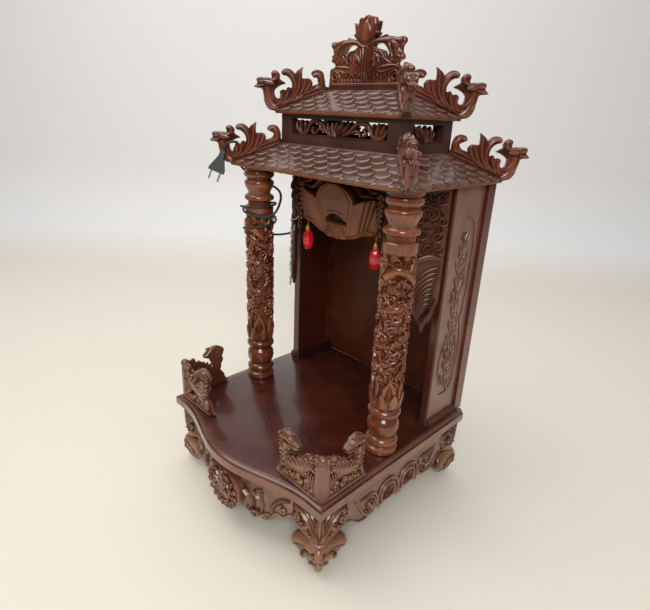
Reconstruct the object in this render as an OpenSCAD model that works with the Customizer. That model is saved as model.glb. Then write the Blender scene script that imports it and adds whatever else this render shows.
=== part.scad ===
// Household wealth-god altar: footed base with a bowed front, two dragon
// columns, an open cabinet and a two-tier hipped roof, in lacquered hardwood.
// Front faces -Y, X runs to the right, Z is up. Origin: middle of the footprint.

/* [Base] */
// Width of the base board
base_w = 470; // [420:1:600]
// Depth of the base board, from its front corners to its back edge
base_d = 452; // [400:1:560]
// How far the middle of the front edge bows out past the corners
bow = 42; // [20:1:60]
// Thickness of the base board
board_t = 22; // [16:1:30]
// Height of the feet, floor to the underside of the board
foot_h = 144; // [110:1:190]
// Thickness of the apron boards
apron_t = 14; // [10:1:20]
// Set-back of the aprons and feet from the board's edge
apron_inset = 10; // [6:1:16]
// Height of the aprons at their plain band
apron_h = 46; // [30:1:60]

/* [Columns] */
// Height of the columns and of the cabinet, board to soffit
post_h = 494; // [400:1:600]
// Largest radius of a column
col_r = 31; // [24:1:36]
// From the board's side edge to a column's axis
col_inset = 44; // [38:1:60]
// From the cabinet's front edge forward to the columns' axes
col_gap = 123; // [110:1:150]

/* [Cabinet] */
// Depth of the cabinet's side panels
cab_d = 125; // [100:1:170]
// From the board's side edge to a side panel's outer face
cab_inset = 23; // [16:1:40]
// Thickness of a side panel
panel_t = 19; // [14:1:24]
// Thickness of the back panel
back_t = 11; // [8:1:18]
// Width of a back stile, seen from the side
stile_w = 26; // [16:1:34]
// How far a back stile stands proud of its side panel
stile_proud = 6; // [3:1:10]
// Height and thickness of the strips along the foot of each side panel
strip = 16; // [10:1:22]

/* [Canopy and wings] */
// Width of the scroll canopy at its top
canopy_w = 352; // [300:1:380]
// From the cabinet's front edge forward to the canopy's back face
canopy_gap = 60; // [50:1:80]
// Thickness of the canopy board
canopy_t = 14; // [10:1:20]
// Width of an oblique wing
wing_w = 66; // [56:1:74]
// Height of an oblique wing
wing_h = 280; // [220:1:320]
// Thickness of an oblique wing
wing_t = 14; // [10:1:18]
// Radius of a lamp bulb
bulb_r = 12; // [10:1:16]

/* [Lower roof] */
// Overhang of the eaves past the cabinet's sides
eave_over = 15.5; // [8:0.5:30]
// Overhang of the front eave past the columns' axes
eave_front_over = 45; // [36:1:70]
// Horizontal run of the lower roof's slopes
lower_run = 74.5; // [60:0.5:90]
// Rise of the lower slopes, soffit board's top to the ledge's underside
lower_rise = 39; // [28:1:60]
// Thickness of the soffit boards
soffit_t = 8; // [6:1:12]
// Thickness of the roof boards at the eave
eave_t = 5; // [3:1:8]
// Thickness of the ledge board between the tiers
ledge_t = 6; // [4:1:10]

/* [Clerestory] */
// Height of the clerestory
clere_h = 51; // [40:1:80]
// Thickness of the clerestory walls
clere_t = 14; // [10:1:20]
// Width of a corner post beside the front window
clere_post = 32; // [20:1:40]
// Width of a corner post beside a side window
clere_side_post = 27; // [20:1:34]
// Height of the bottom rail
clere_rail = 13; // [8:1:18]
// Height of the top rail
clere_head = 8; // [6:1:14]

/* [Upper roof] */
// Overhang of the upper eaves past the clerestory
upper_over = 9.5; // [6:0.5:20]
// Rise of the upper slopes, soffit board's top to the ridge cap
upper_rise = 36; // [26:1:60]
// Width of the ridge cap
cap_w = 22; // [18:1:30]
// Height of the ridge cap
cap_h = 8; // [5:1:12]
// Height of the ridge crest
crest_h = 118; // [90:1:150]
// Thickness of the ridge crest
crest_t = 18; // [12:1:20]

/* [Finials and galleries] */
// Thickness of a corner finial
finial_t = 15; // [10:1:18]
// Height of the beasts' raised heads on the galleries
gallery_h = 96; // [86:1:106]
// Height of a gallery's corner post
gallery_post_h = 75; // [64:1:96]
// Length of a front gallery wing, from its corner
gallery_l = 117; // [100:1:130]
// Length of a side gallery wing, from its corner
gallery_side_l = 106; // [90:1:130]
// Thickness of a gallery wing
gallery_t = 12; // [9:1:16]
// Set-back of the galleries from the board's edge
gallery_inset = 9; // [6:1:14]

/* [Power cord] */
// Diameter of the power cord
cord_d = 5; // [5:0.5:6]

/* [Hidden] */
$fn = 48;

wood = "#5a2c1c";
dark_wood = "#3d1c12";
red_wood = "#6e3524";

// Space left between a piece and what it stands beside or leans on
gap = 0.3;
// Reach of a finial's beak past its eave corner, along the diagonal
beak = 44;
// How far the lion boss stands out past the middle of the bowed edge
boss_proud = 4;

// Depths. front_y is the line through the board's front corners.
cabinet_back = base_d;
tip_reach = beak * cos(45) + finial_t / 2 * cos(45);
total_d = bow + boss_proud + base_d + tip_reach;
front_y = -total_d / 2 + bow + boss_proud;
board_z = foot_h + board_t;
soffit_z = board_z + post_h;
cab_w = base_w - 2 * cab_inset;
cab_front = front_y + cabinet_back - cab_d;
cab_back = front_y + cabinet_back;
col_x = base_w / 2 - col_inset;
col_y = cab_front - col_gap;

// Lower roof
eave_w = cab_w + 2 * eave_over;
// A side wing stops short of the column behind it
column_clear = 5;
side_gallery_l = min(gallery_side_l, col_y - col_r - column_clear - front_y - gallery_inset);
eave_front = col_y - eave_front_over;
eave_d = cab_back - eave_front;
eave_mid = (cab_back + eave_front) / 2;
ledge_z = soffit_z + soffit_t + lower_rise;
clere_w = eave_w - 2 * lower_run;
clere_d = eave_d - 2 * lower_run;
clere_z = ledge_z + ledge_t;

// Upper roof
upper_z = clere_z + clere_h;
upper_w = clere_w + 2 * upper_over;
upper_d = clere_d + 2 * upper_over;
upper_run = (upper_d - cap_w) / 2;
cap_l = upper_w - 2 * upper_run;
cap_z = upper_z + soffit_t + upper_rise;
crest_z = cap_z + cap_h;

// Half-length of the stretch of the front edge that bows out
bow_half = base_w * 0.43;
function bow_y(x) = abs(x) >= bow_half ? 0 : -bow * (1 + cos(180 * x / bow_half)) / 2;
function bow_line(half, n) = [for (i = [0 : n]) let (x = -half + 2 * half * i / n) [x, bow_y(x)]];

// ---------- small shapes ----------

// Curved tapering leaf from the origin along +Y, which turns by `bend` degrees towards +X
module blade(len, w, bend, steps = 7) {
    function mid(t) = abs(bend) < 1 ? [0, len * t]
        : let (r = len / (bend * PI / 180)) [r * (1 - cos(bend * t)), r * sin(bend * t)];
    function side(t) = [cos(bend * t), -sin(bend * t)];
    function half(t) = w / 2 * (1 - pow(t, 2.4)) * (0.62 + 0.38 * sin(180 * min(1, t * 1.4)));
    polygon(concat(
        [for (i = [0 : steps]) mid(i / steps) - side(i / steps) * half(i / steps)],
        [for (i = [steps - 1 : -1 : 0]) mid(i / steps) + side(i / steps) * half(i / steps)]
    ));
}

// Piece of a ring between two angles
module ring_part(r_out, r_in, from, to, steps = 9) {
    polygon(concat(
        [for (i = [0 : steps]) let (a = from + (to - from) * i / steps) r_out * [cos(a), sin(a)]],
        [for (i = [steps : -1 : 0]) let (a = from + (to - from) * i / steps) r_in * [cos(a), sin(a)]]
    ));
}

// Mirrors its children to the left side when side is -1
module on_side(side) {
    if (side < 0) mirror([1, 0, 0]) children();
    else children();
}

// Stands an outline (x, z) upright, centred on y = 0
module upright(t) {
    rotate([90, 0, 0]) linear_extrude(t, center = true) children();
}

// ---------- base ----------

// Plan of the base board, with clipped back corners
module base_plan() {
    clip = 14;
    translate([0, front_y]) polygon(concat(
        [[-base_w / 2, 0]], bow_line(bow_half, 24), [[base_w / 2, 0]],
        [[base_w / 2, base_d - clip], [base_w / 2 - clip, base_d]],
        [[-base_w / 2 + clip, base_d], [-base_w / 2, base_d - clip]]
    ));
}

module base_board() {
    color(red_wood) translate([0, 0, foot_h]) linear_extrude(board_t) base_plan();
}

// Elevation of half of the front apron: a band with two scroll lobes
module apron_front_half() {
    end = base_w / 2 - foot_span;
    difference() {
        union() {
            translate([0, foot_h - apron_h]) square([end, apron_h]);
            translate([end - 22, foot_h - apron_h]) circle(20);
            translate([end - 60, foot_h - apron_h - 8]) circle(30);
            translate([20, foot_h - apron_h - 40]) square([46, 44]);
        }
        translate([end - 60, foot_h - apron_h - 8]) ring_part(22, 12, 20, 200);
        translate([end - 96, foot_h - apron_h - 40]) circle(12);
    }
}

module apron_front() {
    back = [for (p = bow_line(bow_half, 24)) p + [0, apron_inset + apron_t]];
    front = [for (p = bow_line(bow_half, 24)) p + [0, apron_inset]];
    end = base_w / 2 - foot_span;
    color(wood) intersection() {
        translate([0, front_y, 0]) linear_extrude(foot_h)
            polygon(concat(front, [for (i = [24 : -1 : 0]) back[i]]));
        translate([0, front_y, 0]) rotate([90, 0, 0]) linear_extrude(4 * bow, center = true)
            union() { apron_front_half(); mirror([1, 0]) apron_front_half(); }
    }
}

// Elevation of a side apron: wavy lower edge, two carved arches right through
module apron_side_shape(len) {
    difference() {
        union() {
            translate([0, foot_h - apron_h]) square([len, apron_h]);
            for (s = [-1, 1]) {
                translate([len / 2 + s * 86, foot_h - apron_h - 4]) circle(27);
                translate([len / 2 + s * 32, foot_h - apron_h - 2]) circle(25);
            }
        }
        for (s = [-1, 1])
            translate([len / 2 + s * 32, foot_h - apron_h - 2]) ring_part(17, 6, 20, 160);
    }
}

module apron_side(side) {
    len = base_d - 2 * foot_span;
    color(wood) on_side(side)
        translate([base_w / 2 - apron_inset - apron_t, front_y + foot_span, 0])
            rotate([90, 0, 90]) linear_extrude(apron_t) apron_side_shape(len);
}

module apron_back() {
    len = base_w - 2 * foot_span;
    color(dark_wood)
        translate([-len / 2, front_y + base_d - apron_inset - apron_t, foot_h - apron_h])
            cube([len, apron_t, apron_h]);
}

// Lion-head boss over the middle of the front apron
module lion_boss() {
    face = -bow + apron_inset;
    color(dark_wood) translate([0, front_y, 0]) difference() {
        union() {
            translate([0, face - 3, 0]) upright(14) boss_outline(0);
            translate([0, face - 8, 0]) upright(12) boss_outline(10);
        }
        translate([-60, face + 4, 0]) cube([120, 30, foot_h]);
        boss_back_cut();
    }
}

// Heraldic outline of the lion head: brow, cheeks and a pointed beard
module boss_outline(shrink) {
    h = foot_h - shrink / 2;
    polygon([
        [-30 + shrink / 2, h], [30 - shrink / 2, h], [46 - shrink, h - 18],
        [50 - shrink, h - 44], [40 - shrink, h - 64], [26 - shrink / 2, h - 84],
        [0, h - 106 + shrink], [-26 + shrink / 2, h - 84], [-40 + shrink, h - 64],
        [-50 + shrink, h - 44], [-46 + shrink, h - 18]
    ]);
}

// Everything behind the apron's bowed front face
module boss_back_cut() {
    pts = bow_line(bow_half, 24);
    linear_extrude(foot_h) polygon(concat(
        [for (p = pts) p + [0, apron_inset]], [[bow_half, 60], [-bow_half, 60]]
    ));
}

// Side view of a foot, seen square to either face: u runs in from the board's corner
foot_span = 78;
module foot_profile() {
    polygon([
        [12, foot_h], [foot_span, foot_h], [foot_span, foot_h - 40], [76, foot_h - 58],
        [70, foot_h - 70], [62, foot_h - 77], [64, 61], [73, 55], [77, 46], [foot_span, 38],
        [74, 30], [64, 24], [50, 21], [42, 13], [38, 5], [36, 0], [22, 0], [19, 6], [15, 20],
        [10, 32], [8, 44], [10, 56], [15, 64], [17, 70], [13, foot_h - 62], [11, foot_h - 40]
    ]);
}

// Carved corner foot, the same on both faces
module foot(side, back) {
    color(wood) on_side(side)
        translate([base_w / 2, back ? front_y + base_d : front_y, 0])
            mirror([0, back ? 1 : 0, 0]) intersection() {
                mirror([1, 0, 0]) rotate([90, 0, 0]) translate([0, 0, -2 * foot_span])
                    linear_extrude(3 * foot_span) foot_profile();
                rotate([90, 0, 90]) translate([0, 0, -2 * foot_span])
                    linear_extrude(3 * foot_span) foot_profile();
            }
}

// ---------- galleries ----------

// Outline of a gallery wing: a beast lying outwards, its head raised at the far end
module gallery_outline(run) {
    start = 22;
    len = run - start;
    translate([start, 0]) difference() {
        union() {
            square([len - 6, 28]);
            polygon([
                [0, 0], [len - 4, 0], [len, 24], [len - 4, 40], [len - 20, 47],
                [len - 44, 46], [18, 54], [6, gallery_post_h - 8], [0, gallery_post_h - 5]
            ]);
            translate([len - 20, gallery_h - 40]) circle(18);
            translate([len - 13, gallery_h - 22]) circle(13);
            translate([len - 22, gallery_h - 10]) circle(10);
        }
        translate([26, 20]) circle(5);
        translate([52, 24]) circle(6);
    }
}

module gallery_front(side) {
    color(wood) on_side(side)
        translate([base_w / 2 - gallery_inset, front_y + gallery_inset + gallery_t, board_z])
            mirror([1, 0, 0]) rotate([90, 0, 0]) linear_extrude(gallery_t) gallery_outline(gallery_l);
}

module gallery_side(side) {
    color(wood) on_side(side)
        translate([base_w / 2 - gallery_inset - gallery_t, front_y + gallery_inset, board_z])
            rotate([90, 0, 90]) linear_extrude(gallery_t) gallery_outline(side_gallery_l);
}

// Chamfered corner post that joins a front and a side wing
module gallery_post_plan() {
    face = 14;
    polygon([
        [face, 0], [22, 0], [22, gallery_t], [gallery_t + 3, gallery_t + 3],
        [gallery_t, 22], [0, 22], [0, face]
    ]);
}

module gallery_posts() {
    color(red_wood) for (side = [-1, 1]) on_side(side)
        translate([base_w / 2 - gallery_inset, front_y + gallery_inset, board_z])
            mirror([1, 0, 0]) linear_extrude(gallery_post_h) gallery_post_plan();
}

// ---------- columns ----------

// Turned profile of a column, radius against height, with rings, balls and the carved shaft
module column_profile() {
    top = post_h;
    r = col_r;
    polygon(concat(
        [[0, 0], [r - 2, 0], [r, 4], [r, 12], [r - 3, 16], [r, 20], [r, 30], [r - 5, 35]],
        [for (i = [0 : 8]) let (a = -70 + 140 * i / 8) [r - 9 + 9 * cos(a), 57 + 19 * sin(a) / sin(70)]],
        [[r - 5, 79], [r, 83], [r, 92], [r - 3, 96], [r, 100], [r, 122], [r - 2, 128]],
        [[r - 2, top - 106], [r, top - 100], [r, top - 82], [r - 5, top - 78]],
        [[r - 5, top - 74], [r, top - 70], [r, top - 62], [r - 5, top - 58]],
        [[r - 4, top - 50], [r, top - 34], [r - 5, top - 31], [r - 5, top - 26]],
        [[r + 1, top - 22], [r + 1, top - 12], [r - 3, top - 9], [r, top - 6], [r, top], [0, top]]
    ));
}

module column(side) {
    color(wood) translate([side * col_x, col_y, board_z])
        rotate_extrude($fn = 64) column_profile();
}

// ---------- cabinet ----------

module side_panel(side) {
    color(red_wood) on_side(side)
        translate([cab_w / 2 - panel_t, cab_front, board_z])
            cube([panel_t, cab_d - stile_w, post_h]);
}

module back_stiles() {
    color(dark_wood) for (side = [-1, 1]) on_side(side)
        translate([cab_w / 2 - panel_t, cab_back - stile_w, board_z])
            cube([panel_t + stile_proud, stile_w, post_h]);
}

module back_panel() {
    w = cab_w - 2 * panel_t;
    color(dark_wood) translate([-w / 2, cab_back - back_t, board_z]) cube([w, back_t, post_h]);
}

// Square battens on the floor inside the cabinet, one along each side panel
module floor_cleats() {
    size = 12;
    color(dark_wood) for (side = [-1, 1]) on_side(side)
        translate([cab_w / 2 - panel_t - size, cab_front + 6, board_z])
            cube([size, cab_d - back_t - 6, size]);
}

// Strips along the outside foot of each side panel
module base_strips() {
    color(red_wood) for (side = [-1, 1]) on_side(side)
        translate([cab_w / 2, cab_front, board_z]) rotate([90, 0, 0]) mirror([0, 0, 1])
            linear_extrude(cab_d - stile_w)
                polygon([[0, 0], [strip / 2, 0], [strip / 2, strip * 0.6], [2, strip], [0, strip]]);
}

// ---------- canopy, wings and lamps ----------

canopy_y = cab_front - canopy_gap - canopy_t;
canopy_h = 118;
module canopy_outline() {
    w = canopy_w / 2;
    for (s = [-1, 1]) scale([s, 1]) polygon([
        [0, 0], [w - 6, 0], [w, -16], [w - 2, -34], [w - 16, -52], [w - 26, -82],
        [w - 50, -90], [w - 76, -100], [58, -112], [36, -canopy_h + 4], [18, -canopy_h + 10],
        [0, -canopy_h]
    ]);
}

// Board with a bulging arched scroll in its middle and a rolled end at each side of it
module canopy() {
    color(wood) translate([0, canopy_y + canopy_t / 2, soffit_z]) difference() {
        union() {
            upright(canopy_t) canopy_outline();
            translate([0, -canopy_t / 2 - 5, 0]) upright(12) difference() {
                translate([0, -62]) circle(56);
                translate([-80, -canopy_h]) square([160, 24]);
            }
            for (s = [-1, 1]) translate([s * 66, -canopy_t / 2 - 4, -96]) cylinder(h = 70, r = 12);
        }
        translate([0, 0, -104]) upright(80) ring_part(28, 14, 30, 150);
        upright(80) for (s = [-1, 1]) translate([s * 70, -6])
            ring_part(24, 14, 190, 270);
    }
}

// Outline of a pierced wing, hanging down from its top edge; x runs away from the panel
module wing_outline() {
    w = wing_w;
    difference() {
        polygon([
            [0, 0], [w, 0], [w, -44], [w - 8, -70], [w - 4, -104], [w - 14, -140],
            [w - 10, -176], [w - 20, -210], [w - 22, -244], [w - 32, -268], [w - 40, -wing_h],
            [w - 52, -264], [8, -236], [0, -204]
        ]);
        translate([w / 2 - 4, -112]) ring_part(17, 5, 15, 165);
        translate([w / 2 - 6, -60]) circle(6);
        translate([w / 2 - 12, -160]) circle(7);
        translate([w / 2 - 2, -196]) ring_part(14, 6, 200, 330);
        translate([w / 2 + 12, -26]) circle(5);
    }
}

module wing(side) {
    color(dark_wood) on_side(side)
        translate([cab_w / 2 - 2, cab_front - gap, soffit_z]) rotate([0, 0, 225])
            translate([wing_t / 2 + 1, 0, 0]) rotate([90, 0, 0])
                linear_extrude(wing_t, center = true) wing_outline();
}

lamp_x = 94;
lamp_z = soffit_z - 168;
lamp_y = canopy_y + canopy_t / 2;
bulb_h = 43;
cap_height = 12;
cap_r = 5;
module lamp_bulbs() {
    color("#b81424") for (side = [-1, 1]) translate([side * lamp_x, lamp_y, lamp_z])
        rotate_extrude($fn = 32) polygon(concat(
            [[0, 0]],
            [for (i = [1 : 8]) let (a = 180 * i / 9) [bulb_r * pow(sin(a), 0.8), bulb_h * (1 - cos(a)) / 2]],
            [[cap_r - 1, bulb_h], [0, bulb_h]]
        ));
}

// Brass caps of the lamps with the short leads that carry them from the canopy
module lamp_caps() {
    lead_top = soffit_z + canopy_edge(lamp_x) - 0.5;
    color("#b8902c") for (side = [-1, 1])
        translate([side * lamp_x, lamp_y, lamp_z + bulb_h]) union() {
            cylinder(h = cap_height, r = cap_r);
            translate([0, 0, cap_height])
                cylinder(h = lead_top - lamp_z - bulb_h - cap_height, r = 1.5);
        }
}

// Height of the canopy's lower edge, below the soffit, at the lamps
function canopy_edge(x) = let (a = [canopy_w / 2 - 76, -100], b = [58, -112])
    a[1] + (b[1] - a[1]) * (x - a[0]) / (b[0] - a[0]);

// ---------- hipped roofs ----------

// Section of a roof board: runs inwards from the eave along +X
module slope_section(run, rise) {
    board = 9;
    polygon([
        [0, 0], [0, eave_t], [run, rise], [run, rise - board],
        [board * run / (rise - eave_t) * 0.9, 0]
    ]);
}

// One mitred slope, with its eave along X on y = 0 and rising towards +Y
module slope(len, run, rise) {
    intersection() {
        translate([-len / 2, 0, 0]) rotate([90, 0, 90]) linear_extrude(len) slope_section(run, rise);
        linear_extrude(rise + 1) polygon([
            [-len / 2, 0], [len / 2, 0], [len / 2 - run, run], [-len / 2 + run, run]
        ]);
    }
}

// Places a slope on one of the four sides of an eave rectangle
module slope_at(w, d, run, rise, turn) {
    len = turn % 180 == 0 ? w : d;
    out = turn % 180 == 0 ? d / 2 : w / 2;
    rotate([0, 0, turn]) translate([0, -out, 0]) slope(len, run, rise);
}

module lower_slope(turn) {
    color(wood) translate([0, eave_mid, soffit_z + soffit_t])
        slope_at(eave_w, eave_d, lower_run, lower_rise, turn);
}

module upper_slope(turn) {
    color(wood) translate([0, eave_mid, upper_z + soffit_t])
        slope_at(upper_w, upper_d, upper_run, upper_rise, turn);
}

// Flat board centred on the roofs' axis
module roof_board(w, d, t, z) {
    translate([-w / 2, eave_mid - d / 2, z]) cube([w, d, t]);
}

module lower_soffit() {
    color(dark_wood) roof_board(eave_w, eave_d, soffit_t, soffit_z);
}

module lower_ledge() {
    color(wood) roof_board(clere_w, clere_d, ledge_t, ledge_z);
}

module upper_soffit() {
    color(dark_wood) roof_board(upper_w, upper_d, soffit_t, upper_z);
}

module ridge_cap() {
    color(wood) roof_board(cap_l, cap_w, cap_h, cap_z);
}

// ---------- finials ----------

// Bird's head on a curved neck, with a crest, an ear and a hooked throat
module finial_head() {
    polygon([
        [-34, 0], [0, 0], [10, 6], [20, 16], [27, 28], [29, 40], [35, 43], [beak, 43],
        [38, 50], [42, 57], [36, 65], [28, 62], [17, 57], [12, 66], [8, 75], [-2, 74],
        [-7, 65], [-5, 57], [-18, 51], [-5, 46], [1, 38], [3, 29], [-2, 21], [-12, 18],
        [-24, 22], [-34, 30]
    ]);
}

// Root strip along the hip, sunk into it before it is cut to the slopes
module finial_root(hip, foot_z, top_z) {
    polygon([
        [6, 4], [-hip + gap, foot_z], [-hip + gap, top_z + 14], [-hip * 0.6, top_z * 0.6 + 18],
        [-20, 30]
    ]);
}

// Every part of a finial as one upright board: root, head, four leaves and the end curl
module finial_board(hip, foot_z, top_z) {
    upright(finial_t) finial_root(hip, foot_z, top_z);
    upright(finial_t) finial_head();
    upright(finial_t) translate([-22, 16]) rotate(8) blade(34, 14, 40);
    upright(finial_t) translate([-36, 20]) rotate(14) blade(64, 18, 95);
    upright(finial_t) translate([-44, 22]) rotate(12) blade(62, 17, -10);
    upright(finial_t) translate([-54, 26]) rotate(22) blade(38, 16, -28);
    upright(finial_t) translate([-hip + 12, 46]) rotate(4) blade(34, 13, -22);
    upright(finial_t) translate([-hip + 14.5, 66]) ring_part(14, 4, -20, 190);
}

// Finial at the front-right eave corner of a roof; its foot is cut to the two slopes
module corner_finial(w, d, run, rise, z) {
    hip = run * sqrt(2);
    top = soffit_t + rise;
    translate([w / 2, eave_mid - d / 2, z]) difference() {
        rotate([0, 0, -45]) union() finial_board(hip, 2, top);
        // soffit board under it
        translate([-w, 0, -1]) cube([w, w, soffit_t + 1]);
        // body of the roof under it
        translate([0, 0, soffit_t]) intersection() {
            translate([-w, 0, 0]) rotate([90, 0, 90]) linear_extrude(w)
                roof_mass(run, rise);
            rotate([90, 0, 0]) mirror([0, 0, 1]) linear_extrude(w) mirror([1, 0])
                roof_mass(run, rise);
        }
    }
}

// Solid wedge below a slope's top face, carried on inwards
module roof_mass(run, rise) {
    polygon([[0, 0], [0, eave_t], [run, rise], [run + 60, rise], [run + 60, 0]]);
}

// Places a front-right finial at any corner
module finial(side, back, w, d, run, rise, z) {
    color(wood) on_side(side) translate([0, back ? 2 * eave_mid : 0, 0])
        mirror([0, back ? 1 : 0, 0]) corner_finial(w, d, run, rise, z);
}

module lower_finial(side, back) {
    finial(side, back, eave_w, eave_d, lower_run, lower_rise, soffit_z);
}

module upper_finial(side, back) {
    finial(side, back, upper_w, upper_d, upper_run, upper_rise, upper_z);
}

// ---------- clerestory ----------

// Wall with one window through it; x runs along the wall
module window_wall(len, post) {
    difference() {
        square([len, clere_h]);
        translate([post, clere_rail]) square([len - 2 * post, clere_h - clere_rail - clere_head]);
    }
}

module clerestory_long(back) {
    y = back ? eave_mid + clere_d / 2 - clere_t : eave_mid - clere_d / 2;
    color(wood) translate([-clere_w / 2, y + clere_t, clere_z])
        rotate([90, 0, 0]) linear_extrude(clere_t) window_wall(clere_w, clere_post);
}

module clerestory_short(side) {
    len = clere_d - 2 * clere_t;
    color(wood) on_side(side)
        translate([clere_w / 2 - clere_t, eave_mid - len / 2, clere_z])
            rotate([90, 0, 90]) linear_extrude(clere_t)
                window_wall(len, clere_side_post - clere_t);
}

// Pierced lotus spray that fills the lower part of a window
module fret(len, h, t) {
    flower = h * 0.42;
    leaf = len * 0.34;
    // a leaf leans 62 degrees, or more where its tip would reach the top rail
    lean = max(62, acos(min(1, 0.62 * h / leaf)) - 15);
    block = 14;
    bar = 4;
    translate([-len / 2, -t / 2, 0]) cube([len, t, bar]);
    upright(t) translate([0, flower + 0.5]) circle(flower);
    for (s = [-1, 1]) {
        upright(t) translate([s * len * 0.27, 8.5]) circle(8);
        upright(t) translate([s * 8, 5]) rotate(-s * lean) blade(leaf, 9, s * 30);
        translate([s * (len - block) / 2 - block / 2, -t / 2, 0]) cube([block, t, h * 0.66]);
        upright(t) translate([s * (len / 2 - block), h * 0.4]) circle(7);
    }
}

module clerestory_frets() {
    t = 8;
    h = clere_h - clere_rail - clere_head;
    color(dark_wood) {
        for (s = [-1, 1])
            translate([0, eave_mid + s * (clere_d - clere_t) / 2, clere_z + clere_rail])
                union() fret(clere_w - 2 * clere_post, h, t);
        for (s = [-1, 1])
            translate([s * (clere_w - clere_t) / 2, eave_mid, clere_z + clere_rail])
                rotate([0, 0, 90]) union() fret(clere_d - 2 * clere_side_post, h, t);
    }
}

// ---------- crest ----------

// Pierced crest: a lotus bud over leaf scrolls, with a dragon head at each side
module crest_board() {
    half = cap_l / 2;
    k = crest_h / 118;
    upright(crest_t) translate([-half + 2, 0]) square([2 * half - 4, 30 * k]);
    upright(crest_t) translate([-60, 0]) square([120, 44 * k]);
    upright(crest_t) translate([0, 44 * k]) circle(34);
    upright(crest_t) crest_bud(k);
    for (s = [-1, 1]) {
        upright(crest_t) translate([s * (half - 18), 28 * k]) circle(13);
        upright(crest_t) translate([s * 66, 50 * k]) circle(17);
        upright(crest_t) crest_head(s, k);
    }
}

// Flame-like bud of five petals
module crest_bud(k) {
    polygon([
        [-20, 60 * k], [20, 60 * k], [20, 78 * k], [30, 88 * k], [34, 107 * k], [25, 103 * k],
        [18, 116 * k], [9, 108 * k], [0, 118 * k], [-9, 108 * k], [-18, 116 * k],
        [-25, 103 * k], [-34, 107 * k], [-30, 88 * k], [-20, 78 * k]
    ]);
}

// Dragon head that looks outwards, its snout at the far end
module crest_head(s, k) {
    scale([s, 1]) polygon([
        [24, 70 * k], [38, 85 * k], [56, 84 * k], [78, 80 * k], [89, 74 * k], [85, 66 * k],
        [81, 58 * k], [85, 48 * k], [70, 40 * k], [56, 52 * k], [46, 70 * k]
    ]);
}

module ridge_crest() {
    k = crest_h / 118;
    color(wood) translate([0, eave_mid, crest_z]) difference() {
        union() crest_board();
        for (s = [-1, 1]) {
            translate([s * 42, 0, 60 * k]) rotate([90, 0, 0]) cylinder(h = 60, r = 8, center = true);
            translate([s * 52, 0, 40 * k]) rotate([90, 0, 0]) cylinder(h = 60, r = 6, center = true);
        }
    }
}

// ---------- power cord ----------

// Ring of a swept tube: centre p, direction d
function frame_side(d) = let (h = norm([d[0], d[1]])) h < 0.02 ? [1, 0, 0] : [d[1] / h, -d[0] / h, 0];
function tube_ring(p, d, r, n) = let (s = frame_side(d), u = cross(s, d))
    [for (i = [0 : n - 1]) let (a = 360 * i / n) p + r * cos(a) * s + r * sin(a) * u];
function unit(v) = v / norm(v);
function heading(pts, i) = unit(pts[min(i + 1, len(pts) - 1)] - pts[max(i - 1, 0)]);
module tube(pts, d, n) {
    last = len(pts) - 1;
    polyhedron(
        points = [for (i = [0 : last]) each tube_ring(pts[i], heading(pts, i), d / 2, n)],
        faces = concat(
            [[for (j = [0 : n - 1]) j]],
            [for (i = [0 : last - 1]) for (j = [0 : n - 1])
                [i * n + j, (i + 1) * n + j, (i + 1) * n + (j + 1) % n, i * n + (j + 1) % n]],
            [[for (j = [n - 1 : -1 : 0]) last * n + j]]
        )
    );
}

// Flat two-pin plug that hangs beside the finial, leaning with the pull of its cord
plug_at = [-237.5, -92.5, 647];
plug_lean = 22;
plug_l = 46;
plug_w = 32;
plug_t = 13;
plug_axis = [sin(plug_lean) * cos(45), sin(plug_lean) * sin(45), cos(plug_lean)];
plug_neck = plug_at + (plug_l + 0.1) * plug_axis;

// From the plug up over the front-left finial, down the eave and behind the column
route_top = [
    plug_neck, [-223, -77, 698], [-219, -73, 704], [-214, -67, 706], [-213, -59, 706],
    [-218, -53, 705], [-223, -48, 704], [-229, -45, 700], [-235, -46, 693], [-240, -46, 683],
    [-242, -41, 671], [-240, -32, 658], [-236, -21, 646], [-230, -8, 635], [-220, 6, 626],
    [-205, 18, 619], [-187, 23, 613], [-168, 20, 606], [-153, 11, 596], [-144, -1, 583],
    [-143, -12, 569], [-150, -23, 560]
];
// Winding round the column's neck: angle, height and radius at each key place
wind_axis = [-191, -17];
wind_keys = [
    [-25, 558, 34.8], [-127, 568, 34.8], [-307, 583, 34.8], [-470, 576, 35.2], [-495, 574, 41],
    [-590, 560, 41], [-667, 546, 34.8], [-847, 528, 34.8], [-872, 522, 34.8]
];
wind_step = 25;
// From the column's outer side to the hole in the left side panel
route_end = [
    [-225.5, -30, 521], [-226.5, -13, 515], [-222, 8, 508], [-219, 32, 502], [-217, 58, 498], [-216, 84, 497],
    [-219, 106, 498], [-229, 124, 499], [-240, 140, 500], [-243, 153, 500], [-236, 165, 500],
    [-225, 170, 500], [-212, 170, 500]
];
function key_after(a) = min([for (i = [1 : len(wind_keys) - 1]) if (wind_keys[i][0] <= a) i]);
function wind_at(a) = let (
        k = key_after(a), p = wind_keys[k - 1], q = wind_keys[k],
        t = (a - p[0]) / (q[0] - p[0]), z = p[1] + (q[1] - p[1]) * t, r = p[2] + (q[2] - p[2]) * t
    ) [wind_axis[0] + r * cos(a), wind_axis[1] + r * sin(a), z];
winding = [for (a = [-25 : -wind_step : -872]) wind_at(a)];

module power_cord() {
    color("#262c2a") tube(concat(route_top, winding, route_end), cord_d, 10);
}

module on_plug() {
    translate(plug_at) rotate([0, 0, 45]) rotate([0, plug_lean, 0]) children();
}

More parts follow.
